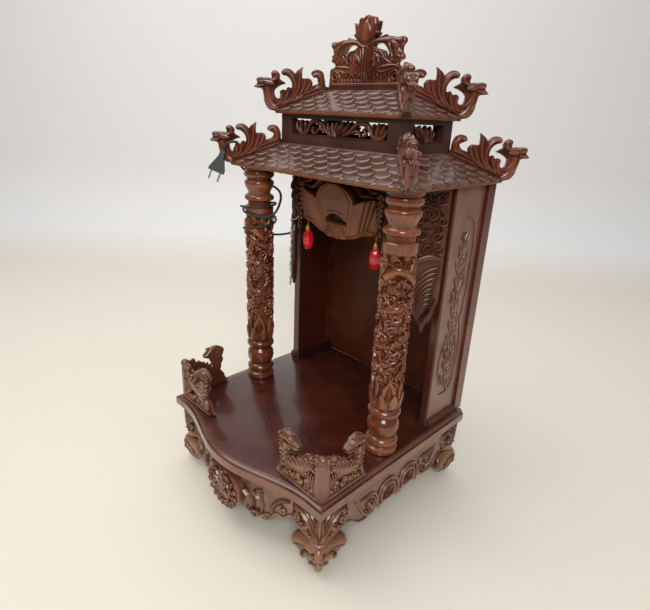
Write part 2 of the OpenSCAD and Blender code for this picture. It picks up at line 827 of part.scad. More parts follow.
module plug_body() {
    neck = 9;
    color("#434a49") on_plug() upright(plug_t) polygon([
        [-plug_w / 2, 0], [plug_w / 2, 0], [plug_w / 2, 6], [plug_w / 2 - 5, 18], [neck / 2 + 1, 32],
        [neck / 2, plug_l], [-neck / 2, plug_l], [-neck / 2 - 1, 32], [-plug_w / 2 + 5, 18],
        [-plug_w / 2, 6]
    ]);
}

module plug_pins() {
    spacing = 19;
    color("#c8ccd0") on_plug() for (s = [-1, 1])
        translate([s * spacing / 2, 0, -19]) cylinder(h = 19, d = 4, $fn = 24);
}

// ---------- output ----------

base_board();
apron_front();
apron_back();
apron_side(-1);  // apron_left
apron_side(1);  // apron_right
lion_boss();
foot(-1, false);  // foot_front_left
foot(1, false);  // foot_front_right
foot(-1, true);  // foot_back_left
foot(1, true);  // foot_back_right
gallery_posts();
gallery_front(-1);  // gallery_front_left
gallery_front(1);  // gallery_front_right
gallery_side(-1);  // gallery_side_left
gallery_side(1);  // gallery_side_right
column(-1);  // column_left
column(1);  // column_right
side_panel(-1);  // side_panel_left
side_panel(1);  // side_panel_right
back_panel();
back_stiles();
floor_cleats();
base_strips();
canopy();
wing(-1);  // wing_left
wing(1);  // wing_right
lower_soffit();
lower_slope(0);  // lower_slope_front
lower_slope(180);  // lower_slope_back
lower_slope(270);  // lower_slope_left
lower_slope(90);  // lower_slope_right
lower_ledge();
lower_finial(-1, false);  // lower_finial_front_left
lower_finial(1, false);  // lower_finial_front_right
lower_finial(-1, true);  // lower_finial_back_left
lower_finial(1, true);  // lower_finial_back_right
clerestory_long(false);  // clerestory_front
clerestory_long(true);  // clerestory_back
clerestory_short(-1);  // clerestory_left
clerestory_short(1);  // clerestory_right
clerestory_frets();
upper_soffit();
upper_slope(0);  // upper_slope_front
upper_slope(180);  // upper_slope_back
upper_slope(270);  // upper_slope_left
upper_slope(90);  // upper_slope_right
ridge_cap();
upper_finial(-1, false);  // upper_finial_front_left
upper_finial(1, false);  // upper_finial_front_right
upper_finial(-1, true);  // upper_finial_back_left
upper_finial(1, true);  // upper_finial_back_right
ridge_crest();
lamp_bulbs();
lamp_caps();
power_cord();
plug_body();
plug_pins();
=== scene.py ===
import math

import bmesh
import bpy
import numpy as np
from bpy.props import FloatProperty, FloatVectorProperty, IntProperty, PointerProperty
from mathutils import Matrix, Vector
from mathutils.geometry import tessellate_polygon


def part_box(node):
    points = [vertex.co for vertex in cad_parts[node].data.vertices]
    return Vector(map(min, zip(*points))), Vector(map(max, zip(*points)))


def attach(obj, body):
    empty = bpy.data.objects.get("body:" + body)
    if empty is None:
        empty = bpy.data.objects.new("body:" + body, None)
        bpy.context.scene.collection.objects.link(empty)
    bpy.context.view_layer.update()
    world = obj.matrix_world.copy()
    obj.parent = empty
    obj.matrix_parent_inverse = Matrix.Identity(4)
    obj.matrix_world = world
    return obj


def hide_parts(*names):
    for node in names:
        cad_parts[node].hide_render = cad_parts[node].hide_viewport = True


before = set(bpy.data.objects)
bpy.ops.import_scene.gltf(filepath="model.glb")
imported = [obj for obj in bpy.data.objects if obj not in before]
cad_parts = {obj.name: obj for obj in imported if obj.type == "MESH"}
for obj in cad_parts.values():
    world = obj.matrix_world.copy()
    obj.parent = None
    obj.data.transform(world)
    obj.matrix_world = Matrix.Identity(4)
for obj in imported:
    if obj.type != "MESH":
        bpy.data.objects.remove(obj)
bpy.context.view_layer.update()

bl_info = {
    "name": "Wealth God Altar",
    "version": (1, 0, 0),
    "blender": (4, 5, 0),
    "location": "View3D > Sidebar > Altar",
    "description": "Carved and lacquered finish for a household altar built around its packed frame",
    "category": "Object",
}

MM = 0.001
BODY = "root"


# ---------- colours and nodes ----------

def linear(code):
    """Linear RGBA of an sRGB hex colour such as #5a2c1c, or of a colour that is linear already."""
    if not isinstance(code, str):
        return (*code, 1.0)
    parts = [int(code[i:i + 2], 16) / 255 for i in (1, 3, 5)]
    return (*(c / 12.92 if c <= 0.04045 else ((c + 0.055) / 1.055) ** 2.4 for c in parts), 1.0)


def add(tree, kind, inputs=None, ramp=None, **options):
    """Adds one shader node. Inputs that are sockets are linked, the rest are values."""
    made = tree.nodes.new("ShaderNode" + kind)
    for key, value in options.items():
        setattr(made, key, value)
    if ramp:
        stops = made.color_ramp.elements
        while len(stops) < len(ramp):
            stops.new(0.5)
        for stop, (place, colour) in zip(stops, ramp):
            stop.position = place
            stop.color = colour
    for key, value in (inputs or {}).items():
        if isinstance(value, bpy.types.NodeSocket):
            tree.links.new(value, made.inputs[key])
        else:
            made.inputs[key].default_value = value
    return made


def blank_material(name):
    """A named material with an empty node tree and its output."""
    made = bpy.data.materials.new(name)
    made.use_nodes = True
    made.node_tree.nodes.clear()
    return made, made.node_tree, made.node_tree.nodes.new("ShaderNodeOutputMaterial")


def lacquered_wood(name, dark, body, light, gloss, coat, grain_axis=2, recess=0.42, carved=True,
                   stain=None, rim=None, grain=1.0, corner=0.52):
    """Stained hardwood under clear lacquer: streaks along the grain, painted shade in the
    carver's cuts, and a painted highlight of paler wood on the crests. stain is a second colour for single
    roof scales and a panel's edges, rim is the colour of upright faces, grain is how strongly the
    streaks show, recess is how dark the painted shade in the cuts goes and corner is how dark the painted shade in the
    deepest corners goes."""
    made, tree, out = blank_material(name)
    where = add(tree, "TexCoord").outputs
    # grain streaks about 3 mm wide and 60 mm long
    stretch = [330.0, 330.0, 330.0]
    stretch[grain_axis] = 16.0
    along = add(tree, "Mapping", {"Vector": where["Object"], "Scale": stretch}).outputs["Vector"]
    streaks = add(tree, "TexNoise", {"Vector": along, "Scale": 1.0, "Detail": 5.0, "Roughness": 0.6,
                                     "Distortion": 0.4}).outputs["Fac"]
    # cloudy stain patches about 50 mm across
    patches = add(tree, "TexNoise", {"Vector": where["Object"], "Scale": 20.0, "Detail": 3.0}).outputs["Fac"]
    shown = add(tree, "MapRange", {"Value": streaks, "To Min": 0.5 - grain / 2,
                                   "To Max": 0.5 + grain / 2}).outputs["Result"]
    both = add(tree, "Math", {0: shown, 1: patches}, operation="ADD").outputs[0]
    half = add(tree, "Math", {0: both, 1: 0.5}, operation="MULTIPLY").outputs[0]
    colour = add(tree, "ValToRGB", {"Fac": half}, ramp=[
        (0.3, linear(dark)), (0.5, linear(body)), (0.72, linear(light))]).outputs["Color"]
    if stain:
        tone = add(tree, "Attribute", attribute_name="tone").outputs["Fac"]
        colour = add(tree, "MixRGB", {"Fac": tone, "Color1": colour, "Color2": linear(stain)}).outputs["Color"]
    if rim:
        facing = add(tree, "SeparateXYZ", {"Vector": where["Normal"]}).outputs
        side = add(tree, "Math", {0: facing["X"]}, operation="ABSOLUTE").outputs[0]
        ahead = add(tree, "Math", {0: facing["Y"]}, operation="ABSOLUTE").outputs[0]
        most = add(tree, "Math", {0: side, 1: ahead}, operation="MAXIMUM").outputs[0]
        upright = add(tree, "MapRange", {"Value": most, "From Min": 0.15, "From Max": 0.75}).outputs["Result"]
        streaky = add(tree, "MapRange", {"Value": both, "From Min": 0.7, "From Max": 1.3,
                                         "To Min": 0.72, "To Max": 1.25}).outputs["Result"]
        edge = add(tree, "HueSaturation", {"Color": linear(rim), "Value": streaky}).outputs["Color"]
        colour = add(tree, "MixRGB", {"Fac": upright, "Color1": colour, "Color2": edge}).outputs["Color"]
    if carved:
        # painted shade: where the relief value is low, in the cuts, the colour is multiplied darker
        height = add(tree, "Attribute", attribute_name="relief").outputs["Fac"]
        depth = add(tree, "MapRange", {"Value": height, "From Max": 0.7, "To Min": recess}).outputs["Result"]
        colour = add(tree, "MixRGB", {"Fac": 1.0, "Color1": colour, "Color2": depth},
                     blend_type="MULTIPLY").outputs["Color"]
        # painted highlight: where the relief value is high, on the crests, the colour is mixed towards the pale colour
        crown = add(tree, "MapRange", {"Value": height, "From Min": 0.8, "To Max": 0.45}).outputs["Result"]
        colour = add(tree, "MixRGB", {"Fac": crown, "Color1": colour, "Color2": linear(light)}).outputs["Color"]
    # painted shade: the colour is darkened in corners up to 9 mm deep
    corners = add(tree, "AmbientOcclusion", {"Distance": 0.009}, samples=6).outputs["AO"]
    shade = add(tree, "MapRange", {"Value": corners, "From Min": 0.25, "From Max": 0.95,
                                   "To Min": corner}).outputs["Result"]
    colour = add(tree, "MixRGB", {"Fac": 1.0, "Color1": colour, "Color2": shade},
                 blend_type="MULTIPLY").outputs["Color"]
    rough = add(tree, "MapRange", {"Value": patches, "To Min": gloss - 0.06, "To Max": gloss + 0.1})
    # open pores along the grain, then the marks of the tool
    pores = add(tree, "Bump", {"Height": streaks, "Strength": 0.08 * grain, "Distance": 0.0006})
    tool = add(tree, "TexNoise", {"Vector": where["Object"], "Scale": 260.0, "Detail": 2.0})
    marks = add(tree, "Bump", {"Height": tool.outputs["Fac"], "Strength": 0.18 if carved else 0.05,
                               "Distance": 0.0008, "Normal": pores.outputs["Normal"]})
    shader = add(tree, "BsdfPrincipled", {
        "Base Color": colour, "Roughness": rough.outputs["Result"], "Normal": marks.outputs["Normal"],
        "IOR": 1.5, "Coat Weight": coat, "Coat Roughness": 0.1, "Coat IOR": 1.5,
    })
    tree.links.new(shader.outputs[0], out.inputs["Surface"])
    return made


# ---------- carving ----------

# Cross-sections of a stroke: place across, height, and how much the surface catches the light
ROUND = [(-1, 0.0, 0.0), (-0.86, 0.5, 0.35), (-0.5, 0.86, 0.8), (0, 1.0, 1.0),
         (0.5, 0.86, 0.8), (0.86, 0.5, 0.35), (1, 0.0, 0.0)]
GOUGE = [(-1, 0.2, 0.1), (-0.88, 0.66, 0.9), (-0.55, 0.36, 0.25), (-0.14, 0.82, 0.75), (0, 1.0, 1.0),
         (0.14, 0.82, 0.75), (0.55, 0.36, 0.25), (0.88, 0.66, 0.9), (1, 0.2, 0.1)]
HOLLOW = [(-1, 0.2, 0.1), (-0.82, 0.95, 1.0), (-0.5, 0.6, 0.4), (0, 0.46, 0.3),
          (0.5, 0.6, 0.4), (0.82, 0.95, 1.0), (1, 0.2, 0.1)]
FLAT = [(-1, 0.25, 0.2), (-0.84, 0.86, 0.85), (-0.5, 1.0, 0.7), (0.5, 1.0, 0.7),
        (0.84, 0.86, 0.85), (1, 0.25, 0.2)]


def smooth(points, steps):
    """Catmull-Rom curve through the points, with steps samples to each span."""
    p = [np.array(q, float) for q in points]
    p = [2 * p[0] - p[1]] + p + [2 * p[-1] - p[-2]]
    made = []
    for i in range(1, len(p) - 2):
        for k in range(steps):
            t = k / steps
            made.append(0.5 * (2 * p[i] + (p[i + 1] - p[i - 1]) * t
                               + (2 * p[i - 1] - 5 * p[i] + 4 * p[i + 1] - p[i + 2]) * t * t
                               + (3 * p[i] - p[i - 1] - 3 * p[i + 1] + p[i + 2]) * t ** 3))
    made.append(p[-2])
    return made


def outline(points, steps, closed=False):
    """The same curve as plain points; closed carries it on from the last point to the first."""
    if closed:
        return [tuple(p) for p in smooth(points + points[:1], steps)[:-1]]
    return [tuple(p) for p in smooth(points, steps)]


class Carving:
    """A carved piece in its own space, in millimetres: u across, v up and h out of the board."""

    def __init__(self):
        self.verts = []
        self.faces = []
        self.relief = []
        self.tone = []

    def put(self, verts, faces, relief):
        start = len(self.verts)
        self.tone += [0.0] * len(verts)
        self.verts += [tuple(v) for v in verts]
        self.faces += [tuple(i + start for i in f) for f in faces]
        self.relief += relief

    def take(self, other, there):
        """Adds another carving, with its points moved by there."""
        self.put([there(*v) for v in other.verts], other.faces, other.relief)

    def rings(self, rings, relief):
        """Joins rings of equal length and closes both ends."""
        n = len(rings[0])
        faces = []
        for i in range(len(rings) - 1):
            j = i + 1
            faces += [(i * n + k, i * n + (k + 1) % n, j * n + (k + 1) % n, j * n + k) for k in range(n)]
        faces += [tuple(range(n))[::-1], tuple(range((len(rings) - 1) * n, len(rings) * n))]
        self.put([v for r in rings for v in r], faces, [x for r in relief for x in r])

    def stroke(self, points, rise, base=0.0, section=GOUGE, both=False, steps=4, sink=2.0, lift=None):
        """One leaf or ribbon along (u, v, width) points. both gives it two carved faces, sink is how deep
        it goes under its base and lift is how far its two ends stand off."""
        line = smooth([tuple(p) for p in points], steps)
        widest = max(q[2] for q in line)
        shine = [r for _, _, r in section]
        # the sunk foot of a one-faced stroke is painted in full shade
        shine = shine + (shine[::-1] if both else [0, 0])
        rings = []
        for i, q in enumerate(line):
            d = line[min(i + 1, len(line) - 1)][:2] - line[max(i - 1, 0)][:2]
            d = d / (np.hypot(*d) or 1)
            side = np.array((-d[1], d[0]))
            w = max(q[2], 0.4)
            tall = rise * (0.35 + 0.65 * min(1, w / (0.6 * widest)))
            up = lift[0] + (lift[1] - lift[0]) * i / (len(line) - 1) if lift else 0
            top = [(*(q[:2] + side * a * w / 2), base + up + tall * b) for a, b, _ in section]
            if both:
                under = [(u, v, -h) for u, v, h in top[::-1]]
            else:
                under = [(*top[-1][:2], base - sink), (*top[0][:2], base - sink)]
            rings.append(top + under)
        self.rings(rings, [shine] * len(rings))

    def leaves(self, rows, s=1, **options):
        """Strokes from (rise, point, point, ...) rows, mirrored across u = 0 when s is -1."""
        for rise, *points in rows:
            self.stroke([(s * p[0], *p[1:]) for p in points], rise, **options)

    def ball(self, u, v, h, r, flat=1.0, n=10, both=False):
        """A bead, flattened out of the board by flat."""
        for side in ((1, -1) if both else (1,)):
            rings, relief = [], []
            for i in range(1, n // 2 + 1):
                a = math.pi * i / (n // 2 + 1)
                rings.append([(u + r * math.sin(a) * math.cos(2 * math.pi * k / n),
                               v + r * math.sin(a) * math.sin(2 * math.pi * k / n),
                               side * (h + r * flat * math.cos(a))) for k in range(n)])
                # painted highlight on the bead's crown, painted shade towards its foot
                relief.append([max(0.0, math.cos(a)) * 0.6 + 0.4] * n)
            self.rings(rings, relief)

    def curl(self, u, v, r, turns, width, rise, base=0.0, start=0.0, hand=1, both=False):
        """A volute that winds in from radius r to a bead in its eye, a quarter of that radius."""
        eye = 0.25
        n = max(6, int(turns * 10))
        pts = []
        for i in range(n + 1):
            t = i / n
            a = math.radians(start) + hand * 2 * math.pi * turns * t
            q = r * (1 - (1 - eye) * t)
            pts.append((u + q * math.cos(a), v + q * math.sin(a), width * (1 - 0.35 * t)))
        self.stroke(pts, rise, base, ROUND, both, steps=2)
        bead = r * eye * 0.9 + width * 0.25
        self.ball(u, v, 0 if both else base, bead, rise / bead if both else 1.0, both=both)

    def tube(self, points, radius):
        """A round wire along (u, v, h) points."""
        n, shine = 8, 0.7
        line = [np.array(q, float) for q in points]
        rings = []
        side = np.array((0.3, 0.2, 1.0))
        for i, q in enumerate(line):
            d = line[min(i + 1, len(line) - 1)] - line[max(i - 1, 0)]
            d = d / np.linalg.norm(d)
            side = side - d * np.dot(side, d)
            side = side / np.linalg.norm(side)
            up = np.cross(d, side)
            rings.append([tuple(q + radius * (side * math.cos(2 * math.pi * k / n)
                                              + up * math.sin(2 * math.pi * k / n))) for k in range(n)])
        self.rings(rings, [[shine] * n] * len(rings))

    def board(self, rim, low, high, holes=(), bevel=1.0):
        """A flat board with softened edges, cut to a rim and pierced by holes."""
        loops = [rim] + list(holes)
        # counter-clockwise rim and clockwise holes, so the wood is always on the left
        for k, loop in enumerate(loops):
            area = sum(a[0] * b[1] - b[0] * a[1] for a, b in zip(loop, loop[1:] + loop[:1]))
            if (area < 0) != (k > 0):
                loops[k] = loop[::-1]
        inner = [inset(loop, bevel) for loop in loops]
        starts, verts, faces, relief = [], [], [], []
        for loop, ins in zip(loops, inner):
            s, n = len(verts), len(loop)
            starts.append(s)
            # the top's softened edge is painted brightest as highlight, the underside darker as shade
            for pts, h, shine in ((ins, high, 0.75), (loop, high - bevel, 0.9),
                                  (loop, low + bevel, 0.5), (ins, low, 0.5)):
                verts += [(p[0], p[1], h) for p in pts]
                relief += [shine] * n
            for row in range(3):
                faces += [(s + row * n + k, s + (row + 1) * n + k, s + (row + 1) * n + (k + 1) % n,
                           s + row * n + (k + 1) % n) for k in range(n)]
        flat = [[Vector((p[0], p[1], 0)) for p in ins] for ins in inner]
        order = [(k, i) for k, ins in enumerate(inner) for i in range(len(ins))]
        for tri in tessellate_polygon(flat):
            top = [starts[order[i][0]] + order[i][1] for i in tri]
            under = [starts[order[i][0]] + 3 * len(loops[order[i][0]]) + order[i][1] for i in tri]
            faces += [tuple(top), tuple(under[::-1])]
        self.put(verts, faces, relief)

    def lathe(self, profile, n, shine=lambda v: 0.7):
        """A turning about the v axis from (radius, height) points; shine is how bright it is by height."""
        turn = [2 * math.pi * k / n for k in range(n)]
        self.rings([[(r * math.cos(a), v, r * math.sin(a)) for a in turn] for r, v in profile],
                   [[shine(v)] * n for _, v in profile])


def inset(loop, by):
    """The loop moved to its left by a small distance, square to each corner."""
    made = []
    for i, p in enumerate(loop):
        a = np.array(p, float) - np.array(loop[i - 1], float)
        b = np.array(loop[(i + 1) % len(loop)], float) - np.array(p, float)
        a, b = a / (np.hypot(*a) or 1), b / (np.hypot(*b) or 1)
        n = np.array((-a[1] - b[1], a[0] + b[0]))
        size = np.hypot(*n) or 1
        n = n / size
        spread = max(0.5, np.dot(n, (-a[1], a[0])))
        made.append((p[0] + n[0] * by / spread, p[1] + n[1] * by / spread))
    return made


def plane(origin, across, out):
    """Carries carving space, in millimetres, to an upright board in the room, in metres."""
    o, a, b, c = Vector([x * MM for x in origin]), Vector(across), Vector((0, 0, 1)), Vector(out)
    return lambda u, v, h: o + (a * u + b * v + c * h) * MM


def room(x, y, z):
    """Carries a point of the room from millimetres to metres."""
    return Vector((x, y, z)) * MM


def new_object(name, data):
    """Puts an object with that data in the scene."""
    made = bpy.data.objects.new(name, data)
    bpy.context.scene.collection.objects.link(made)
    return made


def piece(name, carving, place, key, replaces=(), sharp=38):
    """Makes a carving into a piece with the finish of that key, which rides on the frame."""
    mesh = bpy.data.meshes.new(name)
    mesh.from_pydata([place(*v) for v in carving.verts], [], carving.faces)
    for label, values in (("relief", np.clip(carving.relief, 0, 1)), ("tone", carving.tone)):
        attribute = mesh.attributes.new(label, "FLOAT", "POINT")
        attribute.data.foreach_set("value", np.array(values, np.float32))
    work = bmesh.new()
    work.from_mesh(mesh)
    bmesh.ops.recalc_face_normals(work, faces=work.faces)
    work.to_mesh(mesh)
    work.free()
    mesh.shade_smooth()
    mesh.set_sharp_from_angle(angle=math.radians(sharp))
    mesh.materials.append(finish(key))
    made = new_object(name, mesh)
    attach(made, BODY)
    if replaces:
        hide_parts(*replaces)


def carve(name, carving, place, key):
    """Makes a carving into the piece that stands for the CAD node of that name."""
    piece(name + "_carved", carving, place, key, [name])


def pair(stem, carving, place, key):
    """Carves a left and a right one; place is where the right one goes."""
    for s in (-1, 1):
        carve(f"{stem}_{side_name(s)}", carving, mirrored(place, s), key)


def four(stem, carving, place, middle, key):
    """Carves one at each corner, front and back alike about y = middle; place is the front right one's."""
    pair(stem + "_front", carving, place, key)
    pair(stem + "_back", carving, backward(place, middle), key)


# ---------- finishes ----------

def settings():
    return bpy.context.scene.altar


def carved_wood():
    """Carved hardwood, red-brown stain under gloss lacquer: warm faces, near-black cuts
    and small sharp highlights on every crest."""
    look = settings()
    return lacquered_wood("carved hardwood gloss lacquer", look.wood_dark, look.wood_body, look.wood_pale_and_highlight,
                          look.gloss, 0.35, grain=0.6)


# The other woods: material, then the colours of its cuts, body and crests, gloss, coat and the rest
WOODS = {
    # dragon columns, red-brown stain under gloss lacquer: only a little painted shade in the cuts and corners, so the
    # whole carving stays bright
    "column": ("column gloss lacquer", "#43200f", "#783d22", "#a5653c", 0.17, 0.5,
               dict(grain=0.6, recess=0.6, corner=0.62)),
    # galleries and feet, thin grey-brown stain: crests painted paler as highlight over orange-brown cuts painted
    # darker as shade
    "rubbed": ("carved hardwood rubbed lacquer", "#4b2411", "#77482f", "#a2775b", 0.24, 0.4,
               dict(grain=0.5, recess=0.4)),
    # roof scales under dusty lacquer: pale edges painted as highlight, deep painted shade under each row, some scales
    # a deep wine red
    "tiles": ("roof scales dusty lacquer", "#3b251c", "#573a30", "#856457", 0.25, 0.4,
              dict(grain_axis=0, recess=0.2, stain="#521510", grain=0.5)),
    # flat board under satin lacquer, painted nearly black as the shade on hidden inner parts: fine straight grain
    "shaded": ("board painted dark as shade", "#140502", "#1e0a04", "#2e1208", 0.5, 0.0, dict(carved=False, grain=0.5)),
    # side panels, thin greyish-brown stain: broad soft sheen, upright grain, edges a darker red
    "panel": ("side panel satin lacquer", "#603c30", "#7b5245", "#946e5f", 0.28, 0.35,
              dict(stain="#4a1d10", grain=0.6)),
    # base board under thick gloss lacquer: dark red-brown, softly mirrored, its sawn edge a paler grey-brown
    "floor": ("base board gloss lacquer", "#30110b", "#431b13", "#5c2c1e", 0.26, 0.45,
              dict(grain_axis=0, carved=False, rim="#7f5340", grain=0.35)),
    # roof boards: dark stain below, and a sawn edge that shows orange-brown with straight streaks
    "edge": ("soffit board dark stain", "#2a120b", "#432013", "#603422", 0.3, 0.3,
             dict(grain_axis=0, carved=False, rim="#784015", grain=0.7)),
    # roof finials, red-brown stain under gloss lacquer: small bright highlights, partly painted on the crests, and
    # cuts painted deep dark as shade
    "finial": ("finial gloss lacquer", "#39160c", "#673223", "#985a42", 0.17, 0.45, dict(grain=0.5, recess=0.3)),
    # window frames and ledges, dark stain under dusty satin lacquer: a cool grey-brown
    "frame": ("window frame dusty lacquer", "#301d17", "#432b22", "#5c3f32", 0.32, 0.3,
              dict(grain_axis=0, carved=False, grain=0.4)),
    # wings and window sprays, red-brown stain under satin lacquer: crests painted pale as highlight, little shine
    "wing": ("wing satin lacquer", "#2f1207", "#50220d", "#7f4522", 0.36, 0.1, dict(grain=0.6)),
    # rear stiles, red-brown stain under gloss lacquer: straight upright grain
    "stile": ("stile gloss lacquer", "#35120a", "#5c2614", "#7d3d22", 0.24, 0.4, dict(carved=False, grain=0.7)),
    # strip at the panel's foot: orange-brown where the stain is thin
    "strip": ("foot strip gloss lacquer", "#3d180b", "#5f2c14", "#824620", 0.26, 0.4,
              dict(grain_axis=1, carved=False, grain=0.8)),
    # canopy, thin brown stain: smooth mid-brown planes with a soft sheen
    "canopy": ("canopy board thin stain", "#5a3015", "#75401f", "#935b32", 0.45, 0.05,
               dict(recess=0.18, grain=0.3)),
    # aprons, thin stain under satin lacquer: light grey-brown flats, cuts painted dark as shade
    "apron": ("apron satin lacquer", "#502e1e", "#7d533e", "#a37a63", 0.3, 0.35,
              dict(grain_axis=1, recess=0.3, grain=0.5)),
    # inside of the back, red-brown stain under satin lacquer: fine upright grain
    "back": ("back panel satin lacquer", "#38150a", "#57240c", "#733815", 0.45, 0.0,
             dict(carved=False, grain=0.7)),
    # gallery corner posts, thin stain under satin lacquer: a light grey-brown upright face
    "post": ("gallery post satin lacquer", "#6b4636", "#80594a", "#976f5e", 0.34, 0.25,
             dict(carved=False, grain=0.4)),
}


def plastic(name, code, rough, coat=0.0):
    """Moulded plastic: one even colour with a very fine orange-peel surface."""
    made, tree, out = blank_material(name)
    where = add(tree, "TexCoord").outputs["Object"]
    # moulding texture, drawn at 1.5 mm so that it shows
    peel = add(tree, "TexNoise", {"Vector": where, "Scale": 700.0, "Detail": 2.0}).outputs["Fac"]
    tone = add(tree, "TexNoise", {"Vector": where, "Scale": 60.0}).outputs["Fac"]
    value = add(tree, "MapRange", {"Value": tone, "To Min": 0.88, "To Max": 1.12}).outputs["Result"]
    colour = add(tree, "HueSaturation", {"Color": linear(code), "Value": value}).outputs["Color"]
    bump = add(tree, "Bump", {"Height": peel, "Strength": 0.1, "Distance": 0.0003}).outputs["Normal"]
    shader = add(tree, "BsdfPrincipled", {"Base Color": colour, "Roughness": rough, "Normal": bump,
                                          "IOR": 1.46, "Coat Weight": coat})
    tree.links.new(shader.outputs[0], out.inputs["Surface"])
    return made


def red_lamp():
    """Clear red acrylic, moulded: glows deep red where it is thick, with sharp facet glints."""
    made, tree, out = blank_material("clear red acrylic moulded")
    where = add(tree, "TexCoord").outputs["Object"]
    swirl = add(tree, "TexNoise", {"Vector": where, "Scale": 90.0}).outputs["Fac"]
    colour = add(tree, "ValToRGB", {"Fac": swirl}, ramp=[(0.3, linear("#8e0614")), (0.7, linear("#e02438"))])
    shader = add(tree, "BsdfPrincipled", {
        "Base Color": colour.outputs["Color"], "Roughness": 0.12, "IOR": 1.49, "Coat Weight": 0.6,
        "Transmission Weight": 0.25, "Emission Color": linear("#c01022"), "Emission Strength": 0.18,
    })
    tree.links.new(shader.outputs[0], out.inputs["Surface"])
    return made


def metal(name, code, rough):
    """Plated or drawn metal with fine wiping marks."""
    made, tree, out = blank_material(name)
    where = add(tree, "TexCoord").outputs["Object"]
    wipe = add(tree, "TexNoise", {"Vector": where, "Scale": 400.0, "Detail": 3.0}).outputs["Fac"]
    dull = add(tree, "MapRange", {"Value": wipe, "To Min": rough - 0.08, "To Max": rough + 0.1}).outputs["Result"]
    shader = add(tree, "BsdfPrincipled", {"Base Color": linear(code), "Metallic": 1.0, "Roughness": dull})
    tree.links.new(shader.outputs[0], out.inputs["Surface"])
    return made


OTHERS = {
    "carved": carved_wood,
    "red": red_lamp,
    "cord": lambda: plastic("PVC cable sheath", "#262c2a", 0.42),
    "plug": lambda: plastic("moulded PVC plug", "#434a49", 0.5),
    "nickel": lambda: metal("nickel-plated pin", "#c8ccd0", 0.25),
    "brass": lambda: metal("thin brass cap", "#c49a3a", 0.3),
    "wire": lambda: plastic("clear PVC lamp wire", "#b4aca4", 0.3, 0.3),
}
made_finishes = {}


def finish(key):
    """The finish of that name, made once."""
    if key not in made_finishes:
        if key in OTHERS:
            made_finishes[key] = OTHERS[key]()
        else:
            *look, options = WOODS[key]
            made_finishes[key] = lacquered_wood(*look, **options)
    return made_finishes[key]


def coat_nodes(key, *nodes):
    """Gives CAD nodes a finish through their material slots."""
    for name in nodes:
        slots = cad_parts[name].data.materials
        slots.clear()
        slots.append(finish(key))


# ---------- cord ----------

def cord_route():
    """The cord's points from the hole in the left side panel to the plug, in metres."""
    down = [
        (-225.32, -80.32, 689.74), (-223, -77, 698), (-219, -73, 704), (-214, -67, 706), (-213, -59, 706),
        (-218, -53, 705), (-223, -48, 704), (-229, -45, 700), (-235, -46, 693), (-240, -46, 683),
        (-242, -41, 671), (-240, -32, 658), (-236, -21, 646), (-230, -8, 635), (-220, 6, 626),
        (-205, 18, 619), (-187, 23, 613), (-168, 20, 606), (-153, 11, 596), (-144, -1, 583),
        (-143, -12, 569), (-150, -23, 560),
    ]
    # clockwise angle in degrees, height and radius of the winding round the column's neck
    angles, heights, radii = zip((25, 558, 34.8), (127, 568, 34.8), (307, 583, 34.8), (470, 576, 35.2),
                                 (495, 574, 41), (590, 560, 41), (667, 546, 34.8), (847, 528, 34.8),
                                 (872, 522, 34.8))
    around = []
    for angle in range(25, 872, 25):
        a, r = math.radians(-angle), np.interp(angle, angles, radii)
        around.append((-191 + r * math.cos(a), -17 + r * math.sin(a), np.interp(angle, angles, heights)))
    away = [
        (-225.5, -30, 521), (-226.5, -13, 515), (-222, 8, 508), (-219, 32, 502), (-217, 58, 498),
        (-216, 84, 497), (-219, 106, 498), (-229, 124, 499), (-240, 140, 500), (-243, 153, 500),
        (-236, 165, 500), (-225, 170, 500), (-212, 170, 500),
    ]
    return [Vector(p) * MM for p in (down + around + away)[::-1]]


def make_cord():
    line = [Vector(p) for p in smooth(cord_route(), 3)]
    diameter = 0.005
    curve = bpy.data.curves.new("power_lead", "CURVE")
    curve.dimensions = "3D"
    spline = curve.splines.new("POLY")
    spline.points.add(len(line) - 1)
    for point, p in zip(spline.points, line):
        point.co = (*p, 1)
    curve.bevel_depth = diameter / 2
    curve.bevel_resolution = 4
    curve.use_fill_caps = True
    curve.materials.append(finish("cord"))
    lead = new_object("power_lead", curve)
    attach(lead, BODY)
    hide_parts("power_cord")
    coat_nodes("plug", "plug_body")
    coat_nodes("nickel", "plug_pins")


# ---------- stage ----------

def make_camera():
    """A 27 mm lens in front and to the right of the altar, looking down at it."""
    stand = (0.661, -0.6604, 0.766)
    azimuth, elevation, roll = (math.radians(a) for a in (44.527, 21.342, 2.579))
    look = Vector((-math.sin(azimuth) * math.cos(elevation), math.cos(azimuth) * math.cos(elevation),
                   -math.sin(elevation)))
    right = look.cross(Vector((0, 0, 1))).normalized()
    up = right.cross(look)
    x = right * math.cos(roll) + up * math.sin(roll)
    y = up * math.cos(roll) - right * math.sin(roll)
    data = bpy.data.cameras.new("camera")
    data.sensor_width = 36.0
    data.lens = 27.0
    data.shift_x = -0.0038
    data.clip_start = 0.02
    camera = new_object("camera", data)
    camera.matrix_world = Matrix.Translation(stand) @ Matrix((x, y, -look)).transposed().to_4x4()
    bpy.context.scene.camera = camera


def area_light(name, place, target, size, watts, code):
    data = bpy.data.lights.new(name, "AREA")
    data.energy = watts
    data.size = size
    data.color = linear(code)[:3]
    lamp = new_object(name, data)
    lamp.location = place
    lamp.rotation_euler = (Vector(target) - Vector(place)).to_track_quat("-Z", "Y").to_euler()


